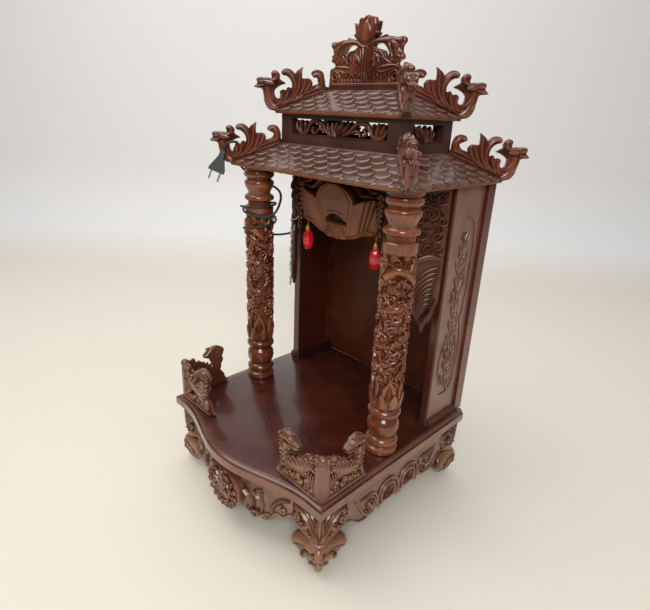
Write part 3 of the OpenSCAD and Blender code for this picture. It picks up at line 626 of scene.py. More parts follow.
def make_backdrop():
    """Pale floor that sweeps up into a backdrop."""
    made, tree, out = blank_material("pale matt studio paper")
    where = add(tree, "TexCoord").outputs["Object"]
    height = add(tree, "SeparateXYZ", {"Vector": where}).outputs["Z"]
    colour = add(tree, "ValToRGB", {"Fac": height}, ramp=[
        (0.0, linear("#e9e4d8")), (0.12, linear("#f2f3f5"))]).outputs["Color"]
    shader = add(tree, "BsdfPrincipled", {"Base Color": colour, "Roughness": 0.55})
    tree.links.new(shader.outputs[0], out.inputs["Surface"])
    # floor, a cove and an upright wall, 10 m wide and square to the view
    near, far, cove, wall, half = -3.0, 1.4, 0.5, 3.2, 5.0
    section = [(near, 0.0), (far, 0.0)]
    section += [(far + cove * math.sin(math.radians(a)), cove - cove * math.cos(math.radians(a)))
                for a in range(6, 91, 6)] + [(far + cove, wall)]
    turn = Matrix.Rotation(math.radians(44.5), 4, "Z")
    mesh = bpy.data.meshes.new("studio_floor")
    verts = [turn @ Vector((x, y, z)) for y, z in section for x in (-half, half)]
    mesh.from_pydata(verts, [], [(2 * i, 2 * i + 1, 2 * i + 3, 2 * i + 2) for i in range(len(section) - 1)])
    mesh.shade_smooth()
    mesh.materials.append(made)
    floor = new_object("studio_floor", mesh)


def make_daylight():
    """Soft daylight from above and the right, over a sky that darkens towards the ground."""
    world = bpy.data.worlds.new("daylight")
    bpy.context.scene.world = world
    world.use_nodes = True
    tree = world.node_tree
    sky = add(tree, "SeparateXYZ", {"Vector": add(tree, "TexCoord").outputs["Generated"]})
    glow = add(tree, "ValToRGB", {"Fac": sky.outputs["Z"]}, ramp=[
        (0.0, linear("#4c4845")), (0.35, linear("#a3a19e")), (0.8, linear("#f4f5f8"))])
    background = tree.nodes["Background"].inputs
    tree.links.new(glow.outputs["Color"], background["Color"])
    background["Strength"].default_value = 0.55
    area_light("window", (1.9, -2.0, 2.2), (0, 0, 0.4), 1.4, 58, "#fffaf4")
    area_light("ceiling", (-0.8, -0.8, 2.6), (0, 0, 0.3), 1.8, 25, "#fffaf2")
    area_light("wall_wash", (-0.2, 0.4, 2.9), (-1.2, 1.2, 0.9), 1.5, 12, "#ffffff")
    bpy.context.scene.view_settings.view_transform = "Standard"


# ---------- places ----------

def edges(name):
    """Lowest and highest corner of a CAD node in millimetres."""
    low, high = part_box(name)
    return [c / MM for c in low], [c / MM for c in high]


# Sizes in millimetres, read from the frame
BOARD_LOW, BOARD_HIGH = edges("base_board")
HALF_W = BOARD_HIGH[0]
BOARD_Z = BOARD_HIGH[2]
FOOT_H = BOARD_LOW[2]
BACK_Y = BOARD_HIGH[1]
POST_H = edges("lower_soffit")[0][2] - BOARD_Z
# The front edge swells forward by BOW in its middle, over this share of the width to each side
BOW = 42.0
BOW_SHARE = 0.43
BOW_HALF = 2 * HALF_W * BOW_SHARE
FRONT_Y = BOARD_LOW[1] + BOW
# Across and along a direction at 45 degrees
DIAGONAL = math.sqrt(0.5)


def side_name(s):
    return "left" if s < 0 else "right"


def bow_y(x):
    """How far forward the bowed front edge stands at x."""
    return 0.0 if abs(x) >= BOW_HALF else -BOW * (1 + math.cos(math.pi * x / BOW_HALF)) / 2


def bowed(set_back):
    """Carving space wrapped on the bowed front, u across and h forward."""
    return lambda u, v, h: Vector((u, FRONT_Y + bow_y(u) + set_back - h, v)) * MM


def mirrored(place, side):
    """The same place on the other side of the altar when side is -1."""
    def there(u, v, h):
        p = place(u, v, h)
        return Vector((side * p.x, p.y, p.z))
    return there


def backward(place, middle):
    """The same place mirrored front to back about y = middle."""
    def there(u, v, h):
        p = place(u, v, h)
        return Vector((p.x, 2 * middle * MM - p.y, p.z))
    return there


def wrapped(x, y, radius):
    """Carving space wound round an upright post: u is the way round at that radius."""
    def there(u, v, h):
        a = u / radius
        return Vector((x + (radius + h) * math.sin(a), y - (radius + h) * math.cos(a), v)) * MM
    return there


def turned(x, y, z):
    """Stands a lathe carving upright at a place."""
    return lambda u, v, h: Vector((x + u, y + h, z + v)) * MM


# ---------- base ----------

def board_plan(back):
    """Outline of the base board, moved in by back on every side; its rear corners are clipped."""
    clip = 14.0
    w, y0, y1 = HALF_W - back, FRONT_Y + back, BACK_Y - back
    front = [(x, FRONT_Y + bow_y(x) + back) for x in np.linspace(-BOW_HALF, BOW_HALF, 61)]
    return ([(-w, y0)] + front + [(w, y0), (w, y1 - clip), (w - clip, y1), (-w + clip, y1), (-w, y1 - clip)])


def make_base_board():
    """Moulded board: broad upright edge, then a small stepped cove up to the flat top."""
    # set-back and depth under the top
    cove = [(0.0, 5.4), (0.7, 4.3), (3.0, 3.9), (3.4, 4.5), (4.2, 4.4), (4.6, 3.6), (7.0, 2.4), (9.0, 1.4),
            (9.4, 1.9), (10.2, 1.8), (10.6, 0.8), (12.6, 0)]
    levels = [(1.5, FOOT_H), (0.0, FOOT_H + 1.5)] + [(back, BOARD_Z - down) for back, down in cove]
    carving = Carving()
    rings = [[(x, y, z) for x, y in board_plan(back)] for back, z in levels]
    carving.rings(rings, [[0.7] * len(r) for r in rings])
    piece("base_board_moulded", carving, room, "floor", ["base_board"], sharp=30)


def apron_low(x):
    """Lower edge of the front apron at x: lobes beside the boss and by the feet."""
    edge = [(0, 60), (44, 56), (56, 50), (70, 54), (80, 66), (90, 60), (104, 58), (116, 68), (126, 84), (138, 80),
            (148, 88), (158, 98)]
    return float(np.interp(abs(x), *zip(*edge)))


def make_aprons():
    make_front_apron()
    make_boss()
    make_side_aprons()
    coat_nodes("shaded", "apron_back")


def make_front_apron():
    front = Carving()
    # from foot to foot, lapping a little under both
    foot_reach, lap = 78, 2
    span = HALF_W - foot_reach + lap
    xs = np.linspace(-span, span, 121)
    rings = []
    for x in xs:
        # the face dips back round the boss
        dip, low = -9 * max(0, 1 - (x / 100) ** 4), apron_low(x)
        rings.append([(x, FOOT_H, dip), (x, low + 1.5, dip), (x, low, dip - 1.5), (x, low, -20), (x, FOOT_H, -21)])
    # painted shade: the face is darker towards its top near the boss, in the board's shadow, and its lower edge is
    # painted bright
    front.rings(rings, [[min(0.7, 0.7 * (x / 100) ** 2), 0.8, 0.8, 0.3, 0.3] for x in xs])
    for s in (-1, 1):
        # smooth lobes along the lower edge under a plain top
        front.leaves([(3, *((x, apron_low(x) + 4, 6) for x in np.linspace(96, span, 14)))], s, section=ROUND, steps=2)
        front.leaves([(9, (52, 104, 8), (64, 92, 15), (68, 76, 15), (60, 62, 8))], s, base=-7, steps=5)
        front.leaves([(9.5, (72, 112, 6), (88, 104, 12), (96, 90, 13), (94, 74, 9), (86, 68, 5))], s, base=-5, steps=5)
        front.leaves([(5, (154, 128, 5), (138, 122, 9), (124, 108, 10), (117, 92, 8), (121, 78, 4))], s)
        front.curl(s * 76, 62, 9, 1.2, 6, 8, -6, start=60, hand=-s)
        front.curl(s * 106, 72, 9, 1.2, 6, 5.5, -1, start=60, hand=-s)
        front.curl(s * 90, 118, 7, 1.2, 5, 7, -5, start=0, hand=-s)
        front.curl(s * 140, 102, 9, 1.2, 6, 5, start=100, hand=s)
    carve("apron_front", front, bowed(11), "apron")


def make_side_aprons():
    low, high = edges("apron_right")
    length = high[1] - low[1]
    side = Carving()
    wave = [(0, 86), (12, 79), (22, 70), (32, 63), (43, 60), (57, 60), (68, 64), (76, 70), (84, 67), (94, 67),
            (105, 69), (118, 67), (130, 69), (138, 67), (length / 2, 67)]
    lower = outline(wave, 3)
    rim = [(0, FOOT_H)] + lower + [(length - u, v) for u, v in lower[-2::-1]] + [(length, FOOT_H)]
    # an arched opening in each half
    holes = [[(m + 17.5 * math.cos(a), 81 + 17 * math.sin(a)) for a in np.linspace(-0.5, math.pi + 0.5, 20)]
             for m in (116, length - 116)]
    side.board(rim, -13, 0, holes, 1.5)
    ends = ((1, 0), (-1, length))
    for s, o in ends:
        side.stroke([(o + s * u, v + 3, 4) for u, v in lower], 3, section=ROUND, steps=1)
    for s, o in ends:
        def leaf(points, rise, steps=4, s=s, o=o):
            side.stroke([(o + s * p[0], *p[1:]) for p in points], rise, section=ROUND, steps=steps)
        # two ridges over the opening, and a slim leaf set back inside it
        for r, w, rise in ((31, 6, 4.5), (21, 6, 5)):
            leaf([(116 + r * math.cos(a), 84 + (r + 3) * math.sin(a), w)
                  for a in np.linspace(-0.62, math.pi + 0.62, 15)], rise, 2)
        side.stroke([(o + s * 101, 74, 4), (o + s * 112, 79, 5), (o + s * 122, 74, 4), (o + s * 131, 70, 3)], 3, -10)
        # spiral with three strands that sweeps in from the plain end
        leaf([(20, 118, 3), (28, 106, 5), (36, 92, 6), (44, 78, 7), (58, 67, 7), (74, 70, 7), (82, 84, 6),
              (80, 100, 6), (68, 112, 6), (50, 112, 4), (36, 114, 2)], 4)
        side.curl(o + s * 61, 88, 14.5, 1.5, 4.5, 5, start=200 if s > 0 else -20, hand=s)
        leaf([(34, 114, 3), (50, 107, 5), (64, 106, 4), (74, 98, 4), (77, 88, 3)], 3.5)
    # a low arc and a stem in the middle
    middle = length / 2
    side.stroke([(middle + 12, 71, 6), (middle, 67, 9), (middle - 12, 71, 6)], 4, section=ROUND)
    side.stroke([(middle, 70, 9), (middle, 84, 6), (middle, 104, 3)], 3, section=ROUND)
    pair("apron", side, plane((high[0], low[1], 0), (0, 1, 0), (1, 0, 0)), "apron")


def make_boss():
    """Generic lion mask over the middle of the front apron: shaggy mane, heavy brows and muzzle."""
    mask = Carving()
    half = outline([(0, 36), (14, 39), (27, 46), (37, 56), (44, 67), (50, 78), (52, 94), (49, 107), (42, 115),
                    (30, 121), (14, 124)], 3)
    mask.board(half + [(-u, v) for u, v in half[:0:-1]], -13, 6, bevel=2.5)
    mask.ball(0, 92, 3, 34, 0.3, n=18)
    # mane
    for k in range(13):
        a = math.radians(-60 + 25 * k)
        c, d = math.cos(a), math.sin(a)
        mask.stroke([(24 * c, 86 + 24 * d, 6), (34 * c + 3 * d, 86 + 32 * d - 3 * c, 10), (46 * c, 86 + 38 * d, 3)],
                    6, 5)
        mask.curl(41 * c, 85 + 33 * d, 6, 1.0, 5, 5.5, 6, start=math.degrees(a), hand=1 if c > 0 else -1)
    for s in (-1, 1):
        # brow and ear, eye, cheeks, moustache, beard and teeth
        mask.leaves([(6, (3, 98, 6), (13, 108, 10), (26, 107, 9), (33, 97, 3))], s, base=9)
        mask.leaves([(5, (6, 112, 5), (16, 120, 8), (30, 116, 3))], s, base=8)
        mask.ball(s * 14, 95, 11, 5.2)
        mask.leaves([(3, (7, 91, 2), (14, 89, 3.5), (22, 92, 2))], s, base=12, section=ROUND)
        mask.ball(s * 21, 80, 7, 10, 0.75)
        mask.ball(s * 6, 81, 10.5, 5.5, 0.9)
        mask.leaves([(5, (28, 70, 4), (14, 62, 7), (0, 59, 7))], s, base=8, section=ROUND)
        mask.leaves([(5, (8, 58, 8), (15, 50, 9), (13, 41, 2))], s, base=5)
        mask.leaves([(5, (20, 60, 8), (28, 54, 8), (25, 46, 2))], s, base=4)
        for k in range(4):
            mask.ball(s * (3 + 5.6 * k), 67 + 1.1 * k, 9.5, 2.3)
    # nose and chin
    mask.stroke([(0, 108, 7), (0, 94, 9), (0, 83, 14)], 7, 7, ROUND)
    mask.stroke([(0, 58, 10), (0, 50, 10), (0, 41, 3)], 6, 5)
    set_back = 13.4
    place = plane((0, FRONT_Y - BOW + set_back, 0), (1, 0, 0), (0, -1, 0))
    carve("lion_boss", mask, place, "rubbed")


# A foot by height: how far its faces stand in from the board's corner, and how long each face is
FOOT_Z, FOOT_IN, FOOT_LONG = zip(
    (0, 22, 14), (4, 20, 18), (12, 17, 26), (20, 14.5, 38), (24, 13.5, 48), (30, 12, 58), (38, 11, 63),
    (46, 10.5, 62), (54, 11, 57), (60, 14, 50), (66, 18, 44), (72, 18, 50), (80, 15, 58), (90, 13.5, 63),
    (104, 13, 64), (144, 12, 65))


def on_corner(u, v, h):
    """Carving space folded round the front-right corner of the board: u = 0 is the corner itself."""
    soft = 9.0
    quarter = soft * math.pi / 4
    back = np.interp(v, FOOT_Z, FOOT_IN)
    cx, cy = HALF_W - back - soft, FRONT_Y + back + soft
    if abs(u) <= quarter:
        a = -math.pi / 4 + u / soft
        x, y = cx + (soft + h) * math.cos(a), cy + (soft + h) * math.sin(a)
    elif u > 0:
        x, y = cx + soft + h, cy + u - quarter
    else:
        x, y = cx + u + quarter, cy - soft - h
    return room(x, y, v)


def make_feet():
    foot = Carving()
    block = Carving()
    solid = []
    for z in np.linspace(0, FOOT_H, 49):
        long = float(np.interp(z, FOOT_Z, FOOT_LONG))
        pts = [on_corner(u, z, 0) / MM for u in np.linspace(-long, long, 25)]
        pts.append(Vector((pts[0].x, pts[-1].y, pts[0].z)))
        solid.append([tuple(p) for p in pts])
    block.rings(solid, [[0.45] * len(r) for r in solid])
    for s in (-1, 1):
        def leaf(points, rise, section=GOUGE, steps=4, s=s):
            foot.stroke([(s * p[0], *p[1:]) for p in points], rise, section=section, steps=steps)
        # mask: rim, flutes under the plain top, a V of heavy brow, eyes and scrolls, a jaw of teeth
        leaf([(61, 134, 5), (65, 120, 6), (65, 104, 6), (60, 90, 7), (51, 84, 4)], 4.5, ROUND)
        leaf([(58, 128, 5), (42, 124, 11), (24, 112, 13), (9, 92, 12), (0, 76, 8)], 7.5)
        leaf([(44, 133, 4), (26, 126, 9), (11, 110, 8), (2, 94, 3)], 5)
        leaf([(20, 133, 4), (10, 124, 8), (3, 112, 3)], 4.5)
        foot.ball(s * 28, 95, 2.5, 6)
        leaf([(16, 92, 3), (26, 103, 5), (38, 98, 3)], 6, ROUND)
        leaf([(18, 88, 3), (29, 87, 4), (38, 92, 2)], 5.5, ROUND)
        foot.curl(s * 51, 102, 9, 1.3, 7, 6.5, start=60, hand=-s)
        foot.curl(s * 45, 88, 6, 1.1, 5, 5.5, start=120, hand=s)
        foot.curl(s * 54, 117, 6, 1.1, 5, 5, start=200, hand=s)
        leaf([(54, 88, 5), (36, 79, 9), (18, 71, 10), (0, 64, 8)], 6.5, ROUND)
        for k in range(5):
            foot.ball(s * (5 + 8 * k), 76 + 2.6 * k, 3.5, 2.8)
        # two pairs of broad polished lobes
        leaf([(3, 60, 12), (22, 60, 20), (42, 56, 24), (56, 49, 22), (62, 43, 12)], 7.5, ROUND, 6)
        leaf([(8, 56, 3), (26, 56, 4), (44, 50, 5), (58, 43, 2)], 9, ROUND)
        leaf([(3, 42, 12), (18, 39, 18), (32, 31, 16), (41, 26, 8)], 6.5, ROUND, 5)
        foot.curl(s * 33, 30, 6, 1.1, 4.5, 3.5, 4.5, start=100, hand=-s)
        leaf([(3, 24, 8), (12, 18, 10), (20, 12, 5)], 4.5, ROUND)
    # the ridge down the corner, with a bead and a brow on it
    foot.stroke([(0, 132, 8), (0, 114, 11), (0, 92, 10), (0, 78, 3)], 6)
    foot.stroke([(0, 62, 10), (0, 48, 15), (0, 32, 18), (0, 18, 17), (0, 8, 12), (0, 1.5, 8)], 7, section=ROUND,
                steps=6)
    foot.ball(0, 31, 5, 6.5, 0.8)
    foot.stroke([(-8, 42, 3), (0, 47, 4.5), (8, 42, 3)], 8, section=ROUND)
    carving = Carving()
    carving.take(foot, lambda u, v, h: on_corner(u, v, h) / MM)
    carving.put(block.verts, block.faces, block.relief)
    four("foot", carving, room, (FRONT_Y + BACK_Y) / 2, "rubbed")


# ---------- galleries ----------

def gallery_wing():
    """One wing of a gallery: a crouching beast whose head looks back along its body to the post."""
    wing = Carving()
    beast = [(12, 0), (116, 0), (115, 10), (112, 16), (110, 25), (104, 30), (99, 40), (100, 46), (104, 52),
             (108, 57), (109, 64), (106, 72), (110, 78), (113, 85), (106, 93), (98, 98), (90, 100), (84, 98),
             (76, 95), (70, 89), (62, 83), (60, 79), (66, 76), (74, 70), (79, 62), (79, 56), (74, 52), (66, 58),
             (58, 65), (50, 72), (42, 75), (36, 76), (30, 80), (24, 84), (12, 85)]
    wing.board(outline(beast, 2), -13, -7, bevel=1.2)

    def leaf(points, rise, section=ROUND, steps=4, base=-7):
        wing.stroke(points, rise, base, section, steps=steps)
    # back and chest, covered in small scales
    leaf([(30, 62, 18), (46, 52, 30), (62, 42, 34), (78, 38, 32), (90, 44, 26)], 7.5, steps=6)
    leaf([(84, 28, 20), (92, 42, 24), (94, 58, 24), (92, 76, 22)], 9, steps=6)
    for k in range(9):
        for j in range(3):
            wing.ball(36 + 6 * k, 52 - 1.9 * k + 8 * j - 4 * (k % 2), 0.2 - 1.2 * abs(j - 1), 3.4, 0.5, 8)
    for k in range(4):
        leaf([(83, 34 + 10 * k, 3), (93, 30 + 10 * k, 5), (103, 35 + 9 * k, 3)], 11)
    # head with a stepped crest, brow, eye and open jaws
    leaf([(104, 84, 16), (92, 87, 24), (80, 86, 18), (68, 83, 11), (60, 81, 6)], 10.5, steps=5)
    leaf([(76, 76, 9), (66, 77, 6), (60, 78, 3)], 10)
    for k in range(5):
        leaf([(76 + 6.4 * k, 95.5 - 1.5 * abs(k - 2.2), 3), (80 + 6.4 * k, 86, 4.5), (84 + 6.6 * k, 77, 3)],
             12.5 - 0.4 * k, GOUGE)
    wing.ball(77, 87, 3, 3.2)
    leaf([(70, 90, 2), (78, 93, 4.5), (86, 90, 2)], 12)
    for u, v, r, a in ((105, 70, 6, 20), (104, 58, 6, 40), (108, 82, 6, 60), (98, 46, 5, 0), (84, 66, 6, 200)):
        wing.curl(u, v, r, 1.1, 5, 8.5, -7, start=a, hand=1)
    # paws, the wavy root of the rock, and curls between
    leaf([(96, 32, 14), (104, 22, 12), (107, 13, 11)], 9.5)
    leaf([(62, 30, 13), (58, 20, 11), (51, 13, 9)], 8.5)
    for k in range(4):
        leaf([(14 + 6.6 * k, 11, 5), (13 + 6.6 * k, 24, 6), (18 + 6 * k, 36, 6), (15 + 6 * k, 50, 4)], 7)
    for u, v in ((24, 17), (50, 18), (38, 28), (72, 20)):
        wing.ball(u, v, -2, 5)
    for u, v, r, a in ((20, 60, 8, 90), (32, 68, 7, 30), (20, 76, 6.5, 180), (44, 66, 6, 60), (56, 60, 5, 60),
                       (70, 17, 7, 100), (84, 17, 8, 60), (95, 13, 6, 130), (44, 38, 6, 20), (40, 16, 6, 300),
                       (30, 78, 4, 60), (82, 28, 5, 0)):
        wing.curl(u, v, r, 1.2, 5.5, 7, -7, start=a, hand=-1)
    # cap of the post, a round bud
    wing.ball(9, 82, -9, 9, 0.9, 16)
    # moulded plinth along the foot
    leaf([(12, 4.4, 9), (60, 4.4, 9), (116, 4.4, 9)], 8, FLAT, 3)
    leaf([(12, 10.4, 3), (60, 10.4, 3), (114, 10.4, 3)], 6.5, ROUND, 3)
    return wing


def make_galleries():
    wing = gallery_wing()
    # the post's corner stands in from the board's; a side wing is a little shorter than a front one
    set_in, side_length = 9.0, 0.95
    corner = (HALF_W - set_in, FRONT_Y + set_in)
    wings = {"front": plane((*corner, BOARD_Z), (-1, 0, 0), (0, -1, 0)),
             "side": plane((*corner, BOARD_Z), (0, side_length, 0), (1, 0, 0))}
    posts = Carving()
    plan = [(17, 0), (17, -9), (9, -17), (0, -17), (0, -8.6), (8.6, 0)]
    levels = [(0.6, 0), (0, 1.5), (0, 71), (0.9, 72.5), (0.2, 73.5), (0.8, 76), (2.6, 78)]
    for s in (-1, 1):
        rings = [[(s * (corner[0] - u), corner[1] - v, BOARD_Z + z) for u, v in inset(plan, -back)]
                 for back, z in levels]
        posts.rings(rings, [[0.6] * len(plan)] * len(levels))
        for part, place in wings.items():
            carve(f"gallery_{part}_{side_name(s)}", wing, mirrored(place, s), "rubbed")
    piece("gallery_posts_moulded", posts, room, "post", ["gallery_posts"], sharp=30)


# ---------- columns ----------

SHAFT = 24.5


def column_turning():
    """Radius against height above the board, foot to cap."""
    top = POST_H
    rough = [(0.1, 0), (29, 0), (30.8, 2), (31.4, 7), (31, 12), (28.6, 15), (27.6, 16.4), (29.4, 18.5), (31.2, 24),
            (30.9, 29), (28.6, 33), (26.4, 35.6), (27.6, 39), (30, 46), (31.2, 56), (30.4, 66), (27.8, 73),
            (26, 76.6), (28.2, 79), (31.2, 84), (31.8, 89), (30.4, 94), (27.8, 96.6), (27, 98), (28.6, 101),
            (29.2, 112), (28.4, 122), (24.4, 126), (SHAFT, 132), (SHAFT, top - 112), (26, top - 106),
            (29.6, top - 102), (30.6, top - 98), (30.6, top - 84), (29, top - 81), (26.8, top - 79.6),
            (26.6, top - 73), (28, top - 71.4), (31.2, top - 68), (31.8, top - 64.5), (30.6, top - 60.5),
            (27.6, top - 57.6), (26.2, top - 55.6), (26.4, top - 52), (28.8, top - 46), (30.6, top - 40),
            (31.6, top - 32.6), (30.4, top - 29.6), (27.6, top - 27), (27.4, top - 25), (29.4, top - 23.6),
            (32, top - 19), (32.2, top - 15.4), (31, top - 11), (28.4, top - 8.8), (28.6, top - 7.6),
            (31.4, top - 6), (31.6, top - 0.4), (0.1, top)]
    # the grooves between the rings go half as deep again
    return [(31 - 1.5 * (31 - r) if 25 < r < 31 else r, v) for r, v in rough]


def scaly_body(carving, coils, low, high, width, rise, hand):
    """Dragon's body wound round the shaft, with rows of raised scales and a fin along its back."""
    steps = int(abs(coils) * 84)
    across = 12
    rings, relief = [], []
    for i in range(steps + 1):
        t = i / steps
        u = hand * coils * 2 * math.pi * SHAFT * t
        v = low + (high - low) * t + 7 * math.sin(t * coils * 4.2)
        w = width * min(1, 0.35 + 2.6 * t, 0.6 + 2.0 * (1 - t))
        ring, lit = [], []
        for k in range(across + 1):
            a = math.pi * k / across
            scale = abs(math.sin(i * 0.6 + (k % 2) * 1.57)) * math.sin(a)
            ring.append((u, v - w / 2 * math.cos(a), -3 + (rise + 1.4) * math.sin(a) ** 0.8 + 1.6 * scale))
            # painted highlight on the raised scales and the body's crown, painted shade along its sides
            lit.append(0.1 + 0.35 * math.sin(a) + 0.55 * scale)
        rings.append(ring)
        relief.append(lit)
        if i % 7 == 3 and 0.04 < t < 0.97:
            carving.stroke([(u, v + w * 0.3, 5), (u + 3 * hand, v + w * 0.5, 5), (u + 7 * hand, v + w * 0.72, 1)],
                           rise, 0, ROUND, steps=2)
    carving.rings(rings, relief)


def make_columns():
    turning = Carving()
    profile = column_turning()
    radii, heights = zip(*profile)
    # painted shade in the turning's grooves, painted highlight on its rings
    turning.lathe(profile, 56, lambda v: 0.3 + 0.35 * np.clip((np.interp(v, heights, radii) - 24) / 6, 0, 1))
    for s in (-1, 1):
        name = "column_" + side_name(s)
        low, high = edges(name)
        x, y = (low[0] + high[0]) / 2, (low[1] + high[1]) / 2
        up, wrap = turned(x, y, BOARD_Z), wrapped(x, y, SHAFT)
        carving = Carving()
        carving.take(turning, lambda u, v, h: up(u, v, h) / MM)
        carving.take(column_relief(s), lambda u, v, h: wrap(u, v + BOARD_Z, h) / MM)
        carve(name, carving, room, "column")


def column_relief(s):
    """What is carved on one shaft, laid out flat: the dragon winds the other way on the left, s = -1."""
    relief = Carving()
    around = 2 * math.pi * SHAFT
    # pointed leaves that stand out over the foot band and under the neck
    for k in range(8):
        u = around * (k + 0.5) / 8
        relief.stroke([(u, 104, 17), (u, 114, 17), (u, 124, 11), (u, 134, 3)], 3.5, 1.5, ROUND, lift=(1.5, 5))
        relief.stroke([(u, POST_H - 101, 12), (u, POST_H - 110, 12), (u, POST_H - 118, 3)], 3.6, 1)
    # the tail, a fan of flames over the leaves
    for k in range(15):
        u, bend = around * k / 15, 10 * math.sin(1.7 * k)
        relief.stroke([(u, 122, 6), (u + 0.3 * bend, 142, 9), (u + bend, 158, 7),
                       (u + 1.6 * bend, 170 + 6 * (k % 2), 2)], 4.6, 0.8, ROUND if k % 2 else GOUGE)
    scaly_body(relief, 3.4, 176, 366, 17, 5.2, s)
    rng = np.random.default_rng(11 + s)
    # clouds and flames that fill the ground between the coils
    for k in range(96):
        u = around * ((k * 0.618) % 1)
        v = 162 + 222 * (k + 0.5) / 96
        relief.curl(u, v, rng.uniform(4.6, 7.4), rng.uniform(0.8, 1.1), 5.4, 5, rng.uniform(0.4, 1.8),
                    start=rng.uniform(0, 360), hand=1 if k % 2 else -1)
    for k in range(150):
        u = around * ((k * 0.381) % 1)
        v = 156 + 226 * (k + 0.5) / 150
        a = rng.uniform(0.2, 1.3) * (1 if k % 3 else -1)
        long = rng.uniform(13, 22)
        relief.stroke([(u, v, 3.5), (u + long * 0.5 * math.cos(a), v + long * 0.5 * math.sin(a), 6.5),
                       (u + long * math.cos(a * 1.6), v + long * math.sin(a * 1.6), 1)], 5.6, 1.2,
                      ROUND if k % 2 else GOUGE, steps=3)
    # short leaves that close the bare ground left between
    for k in range(100):
        u, v, a = around * ((k * 0.755) % 1), 160 + 224 * (k + 0.5) / 100, rng.uniform(0, 2 * math.pi)
        relief.stroke([(u, v, 3), (u + 5 * math.cos(a), v + 5 * math.sin(a), 7),
                       (u + 10 * math.cos(a + 0.8), v + 10 * math.sin(a + 0.8), 1)], 4.4, 1, ROUND, steps=3)
    # dragon's head, looking back down the shaft, in a mane of flames
    u = around * (0.12 if s > 0 else 0.02)
    relief.stroke([(u - 20, 352, 14), (u - 6, 366, 19), (u + 8, 364, 18), (u + 20, 352, 12), (u + 27, 342, 7)],
                  7.6, 2, ROUND, steps=5)
    relief.stroke([(u + 2, 352, 8), (u + 12, 344, 7), (u + 20, 336, 3)], 7, 2, ROUND)
    relief.ball(u + 8, 368, 8, 3.4)
    relief.ball(u + 23, 350, 7, 3)
    for k in range(14):
        a = 0.3 + 0.42 * k
        relief.stroke([(u - 4, 366, 4), (u - 4 + 12 * math.cos(a), 368 + 12 * math.sin(a), 6),
                       (u - 2 + 22 * math.cos(a + 0.3), 368 + 20 * math.sin(a + 0.3), 1)], 7, 2.4, steps=3)
    return relief


# ---------- cabinet ----------

def make_cabinet():
    low, high = edges("side_panel_right")
    thick, deep, tall = (b - a for a, b in zip(low, high))
    # where the sunk field's middle is, a little ahead of the panel's own, and how deep it goes
    middle, sunk = deep * 0.48, 2.2
    panel = Carving()
    rim = [(0, 0), (deep, 0), (deep, tall), (0, tall)]
    # half of the field: an arch above, drawn in at a waist, and an oval loop below
    side = [(0, 62), (17, 66), (30, 84), (36, 112), (37, 160), (33, 200), (25, 226), (31, 250), (35, 290),
            (36, 340), (35, 390), (31, 414), (20, 430), (0, 438)]
    half = outline(side, 3)
    field = [(middle + u, v) for u, v in half] + [(middle - u, v) for u, v in half[-2:0:-1]]
    panel.board(rim, -thick, -sunk, bevel=0.8)
    panel.board(rim, -sunk, 0, [field], bevel=0.9)
    # the edges and the inner face take the darker second colour
    for i, (u, v, h) in enumerate(panel.verts):
        if min(u, deep - u) < 0.01 or h < 0.5 - thick:
            panel.tone[i] = 1.0
    spray = Carving()
    # one slender stem with small leaves in pairs and buds at its top
    spray.stroke([(3 * math.sin(v / 30), v, 3.4) for v in range(80, 412, 18)], 2.4, section=ROUND, steps=2)
    for k, v in enumerate(range(84, 384, 15)):
        s = 1 if k % 2 else -1
        reach = (19, 26, 14, 22)[k % 4] * (0.75 if 200 < v < 250 or v > 350 else 1)
        spray.stroke([(0, v, 2), (s * 0.5 * reach, v + 12, 8.5), (s * reach, v + 30, 1)], 2.8, steps=3)
        spray.stroke([(0, v - 6, 2), (-s * 0.4 * reach, v, 6), (-s * 0.8 * reach, v + 9, 1)], 2.5, steps=3)
        if k % 3 == 0:
            spray.curl(s * 0.8 * reach, v + 8, 4.2, 1.1, 2.6, 2.6, start=40 * k, hand=s)
    for v, size in ((146, 1.0), (290, 0.9), (392, 0.7)):
        for a in (-70, -35, 0, 35, 70):
            x, y = math.sin(math.radians(a)) * size, math.cos(math.radians(a)) * size
            spray.stroke([(0, v, 3), (10 * x, v + 12 * y, 7 * size), (17 * x, v + 24 * y, 1.5)], 2.9, steps=3)
    spray.stroke([(-20, 96, 3), (-28, 130, 4), (-24, 170, 3), (-10, 200, 2)], 2.2, section=ROUND)
    spray.stroke([(14, 74, 3), (28, 96, 5), (31, 130, 5), (28, 165, 3), (16, 190, 2)], 2.6, section=ROUND)
    spray.ball(13, 70, 0, 4)
    panel.take(spray, lambda u, v, h: (middle + u, v, h - sunk))
    pair("side_panel", panel, plane((high[0], low[1], low[2]), (0, 1, 0), (1, 0, 0)), "panel")
    coat_nodes("shaded", "floor_cleats")
    coat_nodes("back", "back_panel")
    coat_nodes("stile", "back_stiles")
    coat_nodes("strip", "base_strips")


# ---------- wings, canopy and lamps ----------

